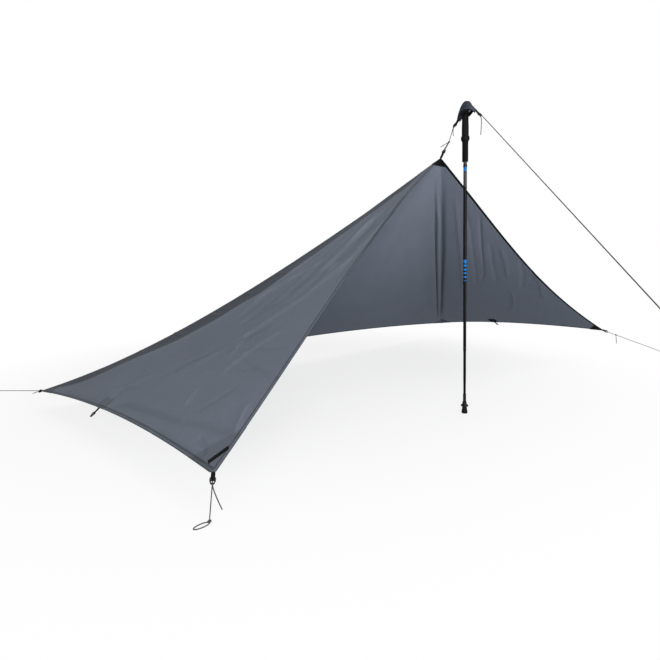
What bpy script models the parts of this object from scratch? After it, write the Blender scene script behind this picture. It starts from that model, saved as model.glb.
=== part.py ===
"""Half-pyramid tarp shelter pitched on one trekking pole.

The canopy is one rectangle of cloth with its apex in the middle of a long edge. A fabric hood sits on
the grip of the pole, a short link cord joins it to the apex, and a guyline runs from it to the ground.
The corners are held by cords in line-lock buckles. The pole is a three-section twist-lock pole.

Metres. The origin is the middle of the pole's rubber foot, on the ground. +X runs along the rear edge,
+Y to the rear and +Z up.
"""

import math

import bmesh
import bpy
from mathutils import Matrix, Vector

# Clearances and counts shared by all pieces
SEAT_GAP = 0.0003
OVERRUN = 0.002
MERGE_DISTANCE = 0.00001
TURN_STEPS = 28
SMALL_TURN_STEPS = 20
SMOOTH_ANGLE = math.radians(38.0)

# Plan and heights of the pitched canopy
REAR_HALF_WIDTH = 1.537
FRONT_HALF_WIDTH = 1.307
CANOPY_AXIS_X = 0.135
REAR_Y = 1.338
FRONT_Y = -0.057
REAR_LEFT_HEIGHT = 0.091
REAR_RIGHT_HEIGHT = 0.118
FRONT_LEFT_HEIGHT = 0.128
FRONT_RIGHT_HEIGHT = 0.211
APEX_X = 0.110
APEX_Y = 0.202
APEX_DROP = 0.163

# Curved edges and sag of the canopy: how far each line leaves its chord
SIDE_LEFT_BOW = 0.038
SIDE_RIGHT_BOW = 0.055
REAR_BOW = 0.120
FRONT_LEFT_BOW = 0.042
FRONT_RIGHT_BOW = 0.079
LEFT_RIDGE_SAG = 0.087
BACK_SAG = 0.035
REAR_BOW_SKEW_SHARE = -0.22
FRONT_LEFT_SKEW_SHARE = -0.75
FRONT_RIGHT_SKEW_SHARE = 0.60
LEFT_RIDGE_SKEW_SHARE = 0.33
BACK_SKEW_SHARE = 0.20

# Ridge rounding and the long pleat that runs from the apex to the rear right corner
RIDGE_ROUNDING = 0.040
RIDGE_END_SHARE = 0.16
FLAT_TOP_SHARE = 0.035
PLEAT_TOP_SHARE = 0.25
PLEAT_WIDTH = 0.075
PLEAT_HEIGHT = 0.016

# The corners' places along the outer edge, which runs front left, rear left, rear right, front right
REAR_LEFT_SHARE = 0.25
REAR_RIGHT_SHARE = 0.75
MIDDLE_SHARE = 0.5

# Cloth thicknesses, hems and reinforcements
CLOTH_THICKNESS = 0.0003
TAPE_THICKNESS = 0.0005
PATCH_THICKNESS = 0.0006
HEM_WIDTH = 0.012
HEM_MOST_SHARE = 0.15
WING_COLUMNS = 8
BACK_COLUMNS = 20
ROWS = 13
ROW_POWER = 1.35
FIRST_ROW_SHARE = 0.0004
CORNER_CUT = 0.010
TRIM_REACH = 0.060
SIDE_LOOP_COLUMN = 4
APEX_CUT = 0.002
CORNER_PATCH = 0.095
SIDE_PATCH_LENGTH = 0.070
SIDE_PATCH_DEPTH = 0.050
APEX_PATCH_DEPTH = 0.034
APEX_PATCH_HOLE = 0.004
APEX_INNER_HOLE = 0.009

# Webbing loops
WEBBING_WIDTH = 0.011
WEBBING_THICKNESS = 0.0010
CORNER_WEBBING = 0.017
SIDE_WEBBING = 0.024
APEX_WEBBING = 0.034
HOOD_FRONT_WEBBING = 0.028
HOOD_REAR_WEBBING = 0.026

# Line-lock buckles
BUCKLE_WIDTH = 0.016
BUCKLE_NOSE_WIDTH = 0.010
BUCKLE_THICKNESS = 0.0030
BUCKLE_BAR = 0.0024
BUCKLE_EYE_WINDOW = 0.0034
BUCKLE_MIDDLE_BAR = 0.0030
BUCKLE_CORD_WINDOW = 0.0054
BUCKLE_NOSE_BAR = 0.0040
BUCKLE_CORD_WINDOW_WIDTH = 0.0078
EYE_CLEARANCE = 0.0004
EYE_POINTS = 12

# Cords
CORD_DIAMETER = 0.003
CORD_SPACING = 0.0036
CORD_BEVEL_RESOLUTION = 2
KNOT_WIDTH = 0.0085
KNOT_LENGTH = 0.011
PEG_LOOP_LENGTH = 0.042
PEG_LOOP_WIDTH = 0.017
PEG_LOOP_POINTS = 20
GROUND_FLAT = 0.0003

# Where the cords meet the ground
REAR_LEFT_PEG = (-1.556, 1.905)
FRONT_LEFT_PEG = (-1.180, -0.0415)
FRONT_RIGHT_PEG = (1.754, -0.473)
GUYLINE_PEG = (-0.703, -1.289)

# Hood over the grip, in the upright plane through the pole and the apex
HOOD_FRONT_REACH = 0.088
HOOD_REAR_REACH = 0.060
HOOD_CROWN_RADIUS = 0.016
HOOD_FRONT_DROP = 0.0630
HOOD_REAR_DROP = 0.0490
HOOD_SKIRT = 0.0520
HOOD_END_SKIRT = 0.0080
HOOD_HALF_WIDTH = 0.0178
HOOD_END_HALF_WIDTH = 0.0060
HOOD_THICKNESS = 0.0006
HOOD_LENGTH_FACES = 16
HOOD_GIRTH_FACES = 10
HOOD_SPACING_POWER = 1.4
HOOD_POWER = 0.6
HOOD_TAPER_POWER = 1.8
HOOD_STRAP_SLOPE_FRONT = 0.87
HOOD_STRAP_SLOPE_REAR = 0.35

# Link between the hood and the apex, by distance from the pole and height
LINK_KNOT_REACH = 0.1466
LINK_KNOT_DROP = 0.1139
APEX_STRAP_SLOPE = 0.70

# Cord ends and knots: where each loose end hangs, from the place it leaves
FRONT_RIGHT_KNOT_REACH = 0.046
FRONT_RIGHT_TAIL = (0.004, -0.003, -0.050)
FRONT_LEFT_TAIL = (0.011, -0.028, -0.060)
REAR_LEFT_TAIL = (-0.004, 0.014, -0.034)
GUYLINE_TAIL = (-0.006, -0.004, -0.070)
LINK_TAIL = (0.014, 0.012, -0.030)
LINK_KNOT_TAIL = (-0.026, 0.021, -0.019)
TAIL_STEP = 0.014
TAIL_POINTS = 5
CORD_STEP = 0.080
BAR_TURN_POINTS = 6
STEEP_SHARE = 0.35

# Pole: grip and neck, by their lengths down from the top
GRIP_LENGTH = 0.1540
GRIP_CAP = 0.0180
GRIP_DOME = 0.0140
GRIP_RADIUS = 0.0139
GRIP_WAIST_RADIUS = 0.0131
GRIP_WAIST_DROP = 0.0670
GRIP_FLARE_RADIUS = 0.0158
GRIP_FLARE_RISE = 0.0130
GRIP_FLARE_TALL = 0.0110
FOAM_RADIUS = 0.0122
FOAM_END_RADIUS = 0.0117
FOAM_LENGTH = 0.0822
FOAM_EDGE = 0.0015
NECK_SHOWING = 0.0125
NECK_COLLAR_LENGTH = 0.0095
NECK_COLLAR_RADIUS = 0.0081
NECK_COLLAR_EDGE = 0.0008
DOME_POINTS = 6

# Pole: tubes
TUBE_WALL = 0.0005
TUBE_OVERLAP = 0.100
UPPER_RADIUS = 0.0071
UPPER_LENGTH = 0.729
MIDDLE_RADIUS = 0.00635
MIDDLE_LENGTH = 0.385
LOWER_RADIUS = 0.0056
LOWER_LENGTH = 0.304
LOWER_END_RADIUS = 0.0051
LOWER_END_LENGTH = 0.046
LOWER_TAPER = 0.038

# Pole: twist-lock expanders
EXPANDER_LENGTH = 0.034
EXPANDER_SLOT = 0.0010
EXPANDER_SLOT_DEPTH = 0.024
EXPANDER_CONE_DEPTH = 0.010
EXPANDER_CONE_RIM = 0.0007
SCREW_RADIUS = 0.0024
SCREW_LENGTH = 0.040
PLUG_LENGTH = 0.018
PLUG_FLANGE = 0.0015
CONE_LENGTH = 0.009

# Pole: tip, basket and foot, by their heights up from the ground
FOOT_HEIGHT = 0.0300
FOOT_FLOOR = 0.0050
FOOT_RADIUS = 0.0125
FOOT_TOP_RADIUS = 0.0098
FOOT_FLARE_HEIGHT = 0.0065
FOOT_NECK_HEIGHT = 0.0215
FOOT_EDGE = 0.0016
CARBIDE_RADIUS = 0.0018
CARBIDE_LENGTH = 0.0205
FERRULE_TIP_RISE = 0.0100
FERRULE_TIP_RADIUS = 0.0038
FERRULE_NECK_RADIUS = 0.0048
FERRULE_RADIUS = 0.0064
FERRULE_LENGTH = 0.0337
SOCKET_FLOOR_RISE = 0.0152
BASKET_RADIUS = 0.0155
BASKET_RIM = 0.0036
BASKET_LENGTH = 0.0190
BASKET_HUB_RADIUS = 0.0087
BASKET_HUB_LENGTH = 0.0095
BASKET_RISE = 0.0010

# Places along the pole that follow from its lengths
BASKET_BOTTOM = FOOT_HEIGHT + BASKET_RISE
BASKET_TOP = BASKET_BOTTOM + BASKET_LENGTH
FERRULE_STEP = BASKET_TOP + SEAT_GAP
FERRULE_TOP = FERRULE_STEP + FERRULE_LENGTH
FERRULE_BOTTOM = FOOT_FLOOR + FERRULE_TIP_RISE
SOCKET_FLOOR = FERRULE_STEP + SOCKET_FLOOR_RISE
CARBIDE_BOTTOM = FOOT_FLOOR + SEAT_GAP
CARBIDE_TOP = CARBIDE_BOTTOM + CARBIDE_LENGTH
LOWER_BOTTOM = SOCKET_FLOOR + SEAT_GAP
LOWER_TOP = LOWER_BOTTOM + LOWER_LENGTH
MIDDLE_BOTTOM = LOWER_TOP - TUBE_OVERLAP
MIDDLE_TOP = MIDDLE_BOTTOM + MIDDLE_LENGTH
UPPER_BOTTOM = MIDDLE_TOP - TUBE_OVERLAP
UPPER_TOP = UPPER_BOTTOM + UPPER_LENGTH
GRIP_TOP = UPPER_TOP + SEAT_GAP + GRIP_CAP
GRIP_BOTTOM = GRIP_TOP - GRIP_LENGTH
FOAM_TOP = GRIP_BOTTOM - SEAT_GAP
FOAM_BOTTOM = FOAM_TOP - FOAM_LENGTH
NECK_COLLAR_TOP = FOAM_BOTTOM - NECK_SHOWING
NECK_COLLAR_BOTTOM = NECK_COLLAR_TOP - NECK_COLLAR_LENGTH


def linear(channel):
    """One sRGB channel as the linear value that a shader takes."""
    return channel / 12.92 if channel <= 0.04045 else ((channel + 0.055) / 1.055) ** 2.4


def material(name, red, green, blue, roughness, metallic=0.0):
    """A Principled material of one sRGB colour, given by its 0 to 255 channels."""
    made = bpy.data.materials.new(name)
    made.use_nodes = True
    shader = made.node_tree.nodes["Principled BSDF"]
    colour = [linear(channel / 255.0) for channel in (red, green, blue)]
    shader.inputs["Base Color"].default_value = (*colour, 1.0)
    shader.inputs["Roughness"].default_value = roughness
    shader.inputs["Metallic"].default_value = metallic
    return made


def clear_scene():
    """Remove what the new file holds."""
    for old in list(bpy.data.objects):
        bpy.data.objects.remove(old, do_unlink=True)


def collection(name):
    """A new collection in the scene."""
    made = bpy.data.collections.new(name)
    bpy.context.scene.collection.children.link(made)
    return made


def placed(name, data, group, finish=None):
    """An object for some data, in a collection, with its material."""
    made = bpy.data.objects.new(name, data)
    group.objects.link(made)
    if finish:
        data.materials.append(finish)
    return made


def object_from(name, bm, group, finish=None):
    """An object that takes its mesh from a bmesh."""
    mesh = bpy.data.meshes.new(name)
    bm.to_mesh(mesh)
    bm.free()
    mesh.shade_smooth()
    mesh.set_sharp_from_angle(angle=SMOOTH_ANGLE)
    return placed(name, mesh, group, finish)


def as_cutter(made):
    """Mark an object as one that only cuts or joins another."""
    made.hide_render = True
    made.display_type = "WIRE"
    return made


def combine(made, other, operation):
    """Add an exact Boolean to an object."""
    step = made.modifiers.new(operation.title(), "BOOLEAN")
    step.operation = operation
    step.solver = "EXACT"
    step.object = other


def solidify(made, thickness):
    """Give an open sheet its thickness, half on each side."""
    step = made.modifiers.new("Thickness", "SOLIDIFY")
    step.thickness = thickness
    step.offset = 0.0
    step.use_rim = True


def turned(name, profile, group, finish, closed=False, steps=TURN_STEPS):
    """A turned piece: a profile of radii and heights that runs down the outer side.

    A closed profile makes a tube, and an open one starts and ends on the axis.
    """
    bm = bmesh.new()
    points = [bm.verts.new((radius, 0.0, height)) for radius, height in profile]
    for above, below in zip(points, points[1:]):
        bm.edges.new((above, below))
    if closed:
        bm.edges.new((points[-1], points[0]))
    made = object_from(name, bm, group, finish)
    screw = made.modifiers.new("Turn", "SCREW")
    screw.steps = steps
    screw.render_steps = steps
    screw.use_merge_vertices = True
    screw.merge_threshold = MERGE_DISTANCE
    screw.use_smooth_shade = True
    return made


def tube_profile(outer, inner, top, bottom):
    """The closed profile of a plain tube."""
    return [(outer, top), (outer, bottom), (inner, bottom), (inner, top)]


def flat_axes(direction, across):
    """A turn whose X runs along a direction and whose Y lies as near across as it can."""
    along = Vector(direction).normalized()
    side = Vector(across)
    side = (side - along * side.dot(along)).normalized()
    up = along.cross(side)
    return Matrix((along, side, up)).transposed()


def between(start, end, share):
    """The point at a share of the way between two points."""
    return start + (end - start) * share


def inward(start, end, inside):
    """The unit direction square to a line, towards a point."""
    line = (end - start).normalized()
    away = inside - start
    return (away - line * away.dot(line)).normalized()


def bow_at(share, skew=0.0):
    """The height of a shallow bow: 0 at both ends and 1 in the middle, leaning by its skew."""
    return 4.0 * share * (1.0 - share) * (1.0 + skew * (2.0 * share - 1.0))


def eased(share):
    """A share that starts and ends level."""
    return share * share * (3.0 - 2.0 * share)


APEX = Vector((APEX_X, APEX_Y, GRIP_TOP - APEX_DROP))
BUCKLE_SHOULDER = BUCKLE_BAR / 2 + BUCKLE_EYE_WINDOW + BUCKLE_MIDDLE_BAR
BUCKLE_NOSE = BUCKLE_SHOULDER + BUCKLE_CORD_WINDOW + BUCKLE_NOSE_BAR
FRONT_LEFT = Vector((CANOPY_AXIS_X - FRONT_HALF_WIDTH, FRONT_Y, FRONT_LEFT_HEIGHT))
REAR_LEFT = Vector((CANOPY_AXIS_X - REAR_HALF_WIDTH, REAR_Y, REAR_LEFT_HEIGHT))
REAR_RIGHT = Vector((CANOPY_AXIS_X + REAR_HALF_WIDTH, REAR_Y, REAR_RIGHT_HEIGHT))
FRONT_RIGHT = Vector((CANOPY_AXIS_X + FRONT_HALF_WIDTH, FRONT_Y, FRONT_RIGHT_HEIGHT))
UNDER_COVER = Vector((CANOPY_AXIS_X, (REAR_Y + FRONT_Y) / 2, REAR_LEFT_HEIGHT))
DOWN = Vector((0.0, 0.0, -1.0))
COLUMNS = 2 + 2 * WING_COLUMNS + BACK_COLUMNS
LEFT_RIDGE_COLUMN = 1 + WING_COLUMNS
RIGHT_RIDGE_COLUMN = LEFT_RIDGE_COLUMN + BACK_COLUMNS
INNER_LAYER = CLOTH_THICKNESS / 2 + SEAT_GAP
OVER_TAPE = INNER_LAYER + TAPE_THICKNESS + SEAT_GAP


class Canopy:
    """The cloth as a fan of lines that run from the apex to the outer edge."""

    def __init__(self):
        self.wing_speed = (REAR_LEFT - FRONT_LEFT).length / REAR_LEFT_SHARE
        self.back_speed = (REAR_RIGHT - REAR_LEFT).length / (REAR_RIGHT_SHARE - REAR_LEFT_SHARE)
        self.sags = [
            (0.0, inward(APEX, FRONT_LEFT, REAR_LEFT) * FRONT_LEFT_BOW, FRONT_LEFT_SKEW_SHARE),
            (REAR_LEFT_SHARE, DOWN * LEFT_RIDGE_SAG, LEFT_RIDGE_SKEW_SHARE),
            (MIDDLE_SHARE, DOWN * BACK_SAG, BACK_SKEW_SHARE),
            (REAR_RIGHT_SHARE, DOWN * 0.0, 0.0),
            (1.0, inward(APEX, FRONT_RIGHT, REAR_RIGHT) * FRONT_RIGHT_BOW, FRONT_RIGHT_SKEW_SHARE),
        ]
        back = (REAR_RIGHT - REAR_LEFT).cross(APEX - REAR_LEFT).normalized()
        self.back_normal = back if back.dot(UNDER_COVER - APEX) > 0.0 else -back

    def edge(self, share):
        """A point of the outer edge, whose three sides are cut in shallow curves."""
        if share <= REAR_LEFT_SHARE:
            start, end, bow, skew = FRONT_LEFT, REAR_LEFT, SIDE_LEFT_BOW, 0.0
            part = share / REAR_LEFT_SHARE
        elif share <= REAR_RIGHT_SHARE:
            start, end, bow, skew = REAR_LEFT, REAR_RIGHT, REAR_BOW, REAR_BOW_SKEW_SHARE
            part = (share - REAR_LEFT_SHARE) / (REAR_RIGHT_SHARE - REAR_LEFT_SHARE)
        else:
            start, end, bow, skew = REAR_RIGHT, FRONT_RIGHT, SIDE_RIGHT_BOW, 0.0
            part = (share - REAR_RIGHT_SHARE) / (1.0 - REAR_RIGHT_SHARE)
        return between(start, end, part) + inward(start, end, APEX) * bow * bow_at(part, skew)

    def rounded_edge(self, share, out):
        """The outer edge as seen from the apex, with its rear corners rounded off inside the cloth."""
        fade = min(1.0, (1.0 - out) / RIDGE_END_SHARE, (out - FLAT_TOP_SHARE) / RIDGE_END_SHARE)
        half = RIDGE_ROUNDING * fade / (out * self.wing_speed)
        for corner in (REAR_LEFT_SHARE, REAR_RIGHT_SHARE):
            if half > 0.0 and abs(share - corner) < half:
                part = (share - corner + half) / (2.0 * half)
                first = between(self.edge(corner - half), self.edge(corner), part)
                last = between(self.edge(corner), self.edge(corner + half), part)
                return between(first, last, part)
        return self.edge(share)

    def sag(self, share, out):
        """How far a line of the fan leaves its chord."""
        for (low, first, low_skew), (high, last, high_skew) in zip(self.sags, self.sags[1:]):
            if share <= high:
                part = eased((share - low) / (high - low))
                skew = low_skew + (high_skew - low_skew) * part
                return between(first, last, part) * bow_at(out, skew)
        return DOWN * 0.0

    def pleat(self, share, out):
        """The long soft pleat beside the line from the apex to the rear right corner."""
        away = (REAR_RIGHT_SHARE - share) * self.back_speed * out
        grown = min(1.0, out / PLEAT_TOP_SHARE)
        width = PLEAT_WIDTH * grown
        if not 0.0 < away < width:
            return DOWN * 0.0
        height = PLEAT_HEIGHT * grown * math.sin(math.pi * away / width) * bow_at(out)
        return self.back_normal * height

    def point(self, share, out):
        """A point of the cloth: share along the outer edge, and out from the apex to it."""
        chord = between(APEX, self.rounded_edge(share, out), out)
        return chord + self.sag(share, out) + self.pleat(share, out)

    def row_share(self, row):
        """How far out a row of the cloth's grid lies."""
        return FIRST_ROW_SHARE + (1.0 - FIRST_ROW_SHARE) * (row / ROWS) ** ROW_POWER

    def column_share(self, column, out):
        """Where a column of the grid lies: a hem's width in, then closer together at the ridges."""
        if column > COLUMNS / 2:
            return 1.0 - self.column_share(COLUMNS - column, out)
        if column == 0:
            return 0.0
        hem = min(HEM_WIDTH / (out * self.wing_speed), HEM_MOST_SHARE)
        if column <= LEFT_RIDGE_COLUMN:
            part = math.sin(math.pi / 2 * (column - 1) / WING_COLUMNS)
            return hem + (REAR_LEFT_SHARE - hem) * part
        part = (1.0 - math.cos(math.pi * (column - LEFT_RIDGE_COLUMN) / BACK_COLUMNS)) / 2
        return REAR_LEFT_SHARE + (REAR_RIGHT_SHARE - REAR_LEFT_SHARE) * part

    def grid_point(self, column, row):
        """A corner of the grid."""
        out = self.row_share(row)
        return self.point(self.column_share(column, out), out)

    def sheet(self, columns=range(COLUMNS + 1), rows=range(ROWS + 1)):
        """The cloth's surface over some columns and rows, as an open bmesh that faces the weather."""
        bm = bmesh.new()
        across, down = len(columns) - 1, len(rows) - 1
        bmesh.ops.create_grid(bm, x_segments=across, y_segments=down, size=1.0)
        for vert in bm.verts:
            column = columns[round((vert.co.x + 1.0) / 2.0 * across)]
            row = rows[round((vert.co.y + 1.0) / 2.0 * down)]
            vert.co = self.grid_point(column, row)
        bmesh.ops.triangulate(bm, faces=bm.faces[:])
        bm.normal_update()
        bm.faces.ensure_lookup_table()
        middle = bm.faces[len(bm.faces) // 2]
        if middle.normal.dot(middle.calc_center_median() - UNDER_COVER) < 0.0:
            bmesh.ops.reverse_faces(bm, faces=bm.faces[:])
        bm.normal_update()
        return bm


def cut_away(bm, place, normal, reach=None):
    """Remove the part of a sheet that lies past a plane, near a place or everywhere."""
    faces = bm.faces[:]
    if reach:
        faces = [item for item in faces if any((v.co - place).length < reach for v in item.verts)]
    edges = {edge for item in faces for edge in item.edges}
    verts = {vert for item in faces for vert in item.verts}
    geometry = [*verts, *edges, *faces]
    bmesh.ops.bisect_plane(bm, geom=geometry, plane_co=place, plane_no=normal, clear_outer=True)


def moved_in(bm, depth):
    """Move a sheet along its own normals, towards the inside of the shelter."""
    bm.normal_update()
    moves = [(vert, vert.normal * -depth) for vert in bm.verts]
    for vert, move in moves:
        vert.co += move


class Tie:
    """A tie-out: where its webbing leaves the cloth, where it points, and how wide its seat lies."""

    def __init__(self, corner, outward, pull, across, cut, webbing, square=False):
        self.outward = Vector(outward).normalized()
        self.pull = Vector(pull).normalized()
        self.normal = self.outward if square else (self.pull + self.outward).normalized()
        self.turn = flat_axes(self.pull, across)
        self.seat = Vector(corner) - self.outward * cut
        self.bar = self.seat + self.pull * webbing
        self.nose = self.bar + self.pull * BUCKLE_NOSE
        self.webbing = webbing

    def matrix(self, place):
        """The world matrix of a piece that is drawn along this tie's pull."""
        return Matrix.Translation(place) @ self.turn.to_4x4()


def arc(centre, radius, start, end, count):
    """Points along an arc."""
    steps = [start + (end - start) * step / count for step in range(count + 1)]
    return [(centre + radius * math.cos(a), radius * math.sin(a)) for a in steps]


def flat_outline(name, outlines, thickness, group, finish=None):
    """A flat piece as a filled outline with its holes, drawn in its own XY plane."""
    curve = bpy.data.curves.new(name, "CURVE")
    curve.dimensions = "2D"
    curve.fill_mode = "BOTH"
    curve.extrude = thickness / 2
    for outline in outlines:
        spline = curve.splines.new("POLY")
        spline.points.add(len(outline) - 1)
        for point, (x, y) in zip(spline.points, outline):
            point.co = (x, y, 0.0, 1.0)
        spline.use_cyclic_u = True
    return placed(name, curve, group, finish)


def meshed(made, group, finish=None):
    """Turn a curve object into a welded mesh object of the same name and place."""
    name = made.name
    graph = bpy.context.evaluated_depsgraph_get()
    mesh = bpy.data.meshes.new_from_object(made.evaluated_get(graph))
    bm = bmesh.new()
    bm.from_mesh(mesh)
    bmesh.ops.remove_doubles(bm, verts=bm.verts[:], dist=MERGE_DISTANCE)
    bm.transform(made.matrix_world)
    bpy.data.objects.remove(made, do_unlink=True)
    bpy.data.meshes.remove(mesh)
    return object_from(name, bm, group, finish)


def webbing_loop(tie, name, group, finish):
    """A folded strap: two layers sewn together, and an eye that goes round the buckle's bar."""
    eye = math.hypot(BUCKLE_BAR, BUCKLE_THICKNESS) / 2 + EYE_CLEARANCE
    outer = eye + WEBBING_THICKNESS
    start = math.asin(WEBBING_THICKNESS / outer)
    reach = tie.webbing + WEBBING_WIDTH
    outline = [(-reach, -WEBBING_THICKNESS)]
    outline += arc(0.0, outer, start - math.pi, math.pi - start, EYE_POINTS)
    outline += [(-reach, WEBBING_THICKNESS)]
    hole = arc(0.0, eye, 0.0, 2.0 * math.pi, EYE_POINTS)[:-1]
    strap = flat_outline(name, [outline, hole], WEBBING_WIDTH, group)
    upright = Matrix.Rotation(math.pi / 2, 4, "X")
    strap.matrix_world = tie.matrix(tie.bar) @ upright
    bpy.context.view_layer.update()
    strap = meshed(strap, group, finish)
    bm = bmesh.new()
    bm.from_mesh(strap.data)
    geometry = bm.verts[:] + bm.edges[:] + bm.faces[:]
    start = tie.seat + tie.normal * SEAT_GAP
    done = bmesh.ops.bisect_plane(
        bm, geom=geometry, plane_co=start, plane_no=-tie.normal, clear_outer=True
    )
    rim = [item for item in done["geom_cut"] if isinstance(item, bmesh.types.BMEdge)]
    bmesh.ops.edgeloop_fill(bm, edges=rim)
    bm.to_mesh(strap.data)
    bm.free()
    return strap


def buckle(tie, name, group, finish):
    """A line-lock buckle: a tapered plate with a bar for the webbing and a window for the cord."""
    back, shoulder, front = -BUCKLE_BAR / 2, BUCKLE_SHOULDER, BUCKLE_NOSE
    half, nose = BUCKLE_WIDTH / 2, BUCKLE_NOSE_WIDTH / 2
    corner = BUCKLE_BAR / 2
    outline = [
        (back, -half + corner),
        (back + corner, -half),
        (shoulder, -half),
        (front - corner, -nose),
        (front, -nose + corner),
        (front, nose - corner),
        (front - corner, nose),
        (shoulder, half),
        (back + corner, half),
        (back, half - corner),
    ]
    eye_half = WEBBING_WIDTH / 2 + EYE_CLEARANCE
    eye_window = rectangle(BUCKLE_BAR / 2, BUCKLE_BAR / 2 + BUCKLE_EYE_WINDOW, eye_half)
    cord_half = BUCKLE_CORD_WINDOW_WIDTH / 2
    cord_window = rectangle(shoulder, shoulder + BUCKLE_CORD_WINDOW, cord_half)
    plate = flat_outline(name, [outline, eye_window, cord_window], BUCKLE_THICKNESS, group)
    plate.matrix_world = tie.matrix(tie.bar)
    bpy.context.view_layer.update()
    return meshed(plate, group, finish)


def rectangle(low, high, half):
    """The outline of a window, symmetric about the X axis."""
    return [(low, -half), (high, -half), (high, half), (low, half)]


def cord(name, route, group, finish):
    """A cord: a tube of flat-ended straight runs and smooth turns through its route."""
    curve = bpy.data.curves.new(name, "CURVE")
    curve.dimensions = "3D"
    curve.bevel_depth = CORD_DIAMETER / 2
    curve.bevel_resolution = CORD_BEVEL_RESOLUTION
    curve.use_fill_caps = True
    curve.render_resolution_u = 0
    spline = curve.splines.new("POLY")
    spline.points.add(len(route) - 1)
    for point, place in zip(spline.points, route):
        point.co = (*place, 1.0)
    return placed(name, curve, group, finish)


def run(start, end):
    """Points from one place up to the next, a cord step apart, without the last one."""
    count = max(1, math.ceil((end - start).length / CORD_STEP))
    return [between(start, end, step / count) for step in range(count)]


def hanging(start, pull, end):
    """A loose cord end: it leaves along its pull and bends over to its end."""
    turn = start + pull.normalized() * TAIL_STEP
    line = []
    for step in range(TAIL_POINTS + 1):
        part = step / TAIL_POINTS
        first, last = between(start, turn, part), between(turn, end, part)
        line.append(between(first, last, part))
    return line


def round_bar(tie):
    """The way of a cord round the nose bar of a buckle, from below the plate to above it."""
    radius = (BUCKLE_THICKNESS + CORD_DIAMETER) / 2 + SEAT_GAP
    inner = BUCKLE_SHOULDER + BUCKLE_CORD_WINDOW
    along, normal = tie.turn.col[0], tie.turn.col[2]
    centre = tie.bar + along * inner
    route = [centre + along * BUCKLE_NOSE_BAR - normal * radius]
    for step in range(BAR_TURN_POINTS + 1):
        turn = math.pi * step / BAR_TURN_POINTS
        route.append(centre - along * radius * math.sin(turn) - normal * radius * math.cos(turn))
    return route + [centre + along * BUCKLE_NOSE_BAR + normal * radius]


def knot(name, centre, direction, group, finish):
    """A tight stopper knot: a lumpy ball drawn out along the cord."""
    bm = bmesh.new()
    bmesh.ops.create_icosphere(bm, subdivisions=2, radius=1.0)
    turn = flat_axes(direction, Vector(direction).orthogonal())
    size = Matrix.Diagonal((KNOT_LENGTH / 2, KNOT_WIDTH / 2, KNOT_WIDTH / 2))
    bm.transform(Matrix.Translation(centre) @ (turn @ size).to_4x4())
    return object_from(name, bm, group, finish)


def knot_reach(along, pull):
    """How far a knot that is drawn out along one direction reaches towards another."""
    share = abs(along.normalized().dot(pull.normalized()))
    length, width = KNOT_LENGTH / 2, KNOT_WIDTH / 2
    return 1.0 / math.hypot(share / length, math.sqrt(1.0 - min(share, 1.0) ** 2) / width)


def peg_loop(name, peg, away, parts, cutters, finish):
    """The loop for a peg, flat on the ground, with the knot that closes it."""
    outward = Vector((away.x, away.y, 0.0)).normalized()
    side = Vector((-outward.y, outward.x, 0.0))
    middle = peg + Vector((0.0, 0.0, CORD_DIAMETER / 2 - GROUND_FLAT))
    first = math.asin(CORD_SPACING / PEG_LOOP_WIDTH)
    route = []
    for step in range(PEG_LOOP_POINTS + 1):
        turn = first + (2.0 * math.pi - 2.0 * first) * step / PEG_LOOP_POINTS
        out = outward * PEG_LOOP_LENGTH * (1.0 - math.cos(turn)) / 2
        route.append(middle + out + side * PEG_LOOP_WIDTH * math.sin(turn) / 2)
    loop = cord(name, route, parts, None)
    bpy.context.view_layer.update()
    loop = meshed(loop, parts, finish)
    closing = as_cutter(knot(name + "_closing", knot_centre(peg), outward, cutters, None))
    combine(loop, closing, "UNION")
    combine(loop, ground_cutter(name + "_ground", peg, cutters), "DIFFERENCE")
    return loop


def knot_centre(peg):
    """The middle of a ground knot, which sits a little into its flat."""
    return peg + Vector((0.0, 0.0, KNOT_WIDTH / 2 - GROUND_FLAT))


def ground_cutter(name, peg, cutters):
    """A block below the ground round a peg."""
    bm = bmesh.new()
    bmesh.ops.create_cube(bm, size=1.0)
    wide = 2.0 * (PEG_LOOP_LENGTH + KNOT_LENGTH)
    size = Matrix.Diagonal((wide, wide, OVERRUN, 1.0))
    bm.transform(Matrix.Translation(peg - Vector((0.0, 0.0, OVERRUN / 2))) @ size)
    return as_cutter(object_from(name, bm, cutters))


POLE_TO_APEX = Vector((APEX_X, APEX_Y, 0.0)).normalized()
HOOD_ACROSS = Vector((POLE_TO_APEX.y, -POLE_TO_APEX.x, 0.0))


def by_pole(reach, height, aside=0.0):
    """A place given by its distance from the pole towards the apex, its height and its offset."""
    return POLE_TO_APEX * reach + HOOD_ACROSS * aside + Vector((0.0, 0.0, height))


def hood_crown(reach):
    """The height of the hood's inner crown line."""
    end = HOOD_FRONT_REACH if reach < 0.0 else HOOD_REAR_REACH
    drop = HOOD_FRONT_DROP if reach < 0.0 else HOOD_REAR_DROP
    full = math.hypot(HOOD_CROWN_RADIUS, end) - HOOD_CROWN_RADIUS
    fall = math.hypot(HOOD_CROWN_RADIUS, reach) - HOOD_CROWN_RADIUS
    return GRIP_TOP + SEAT_GAP - drop * fall / full


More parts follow.
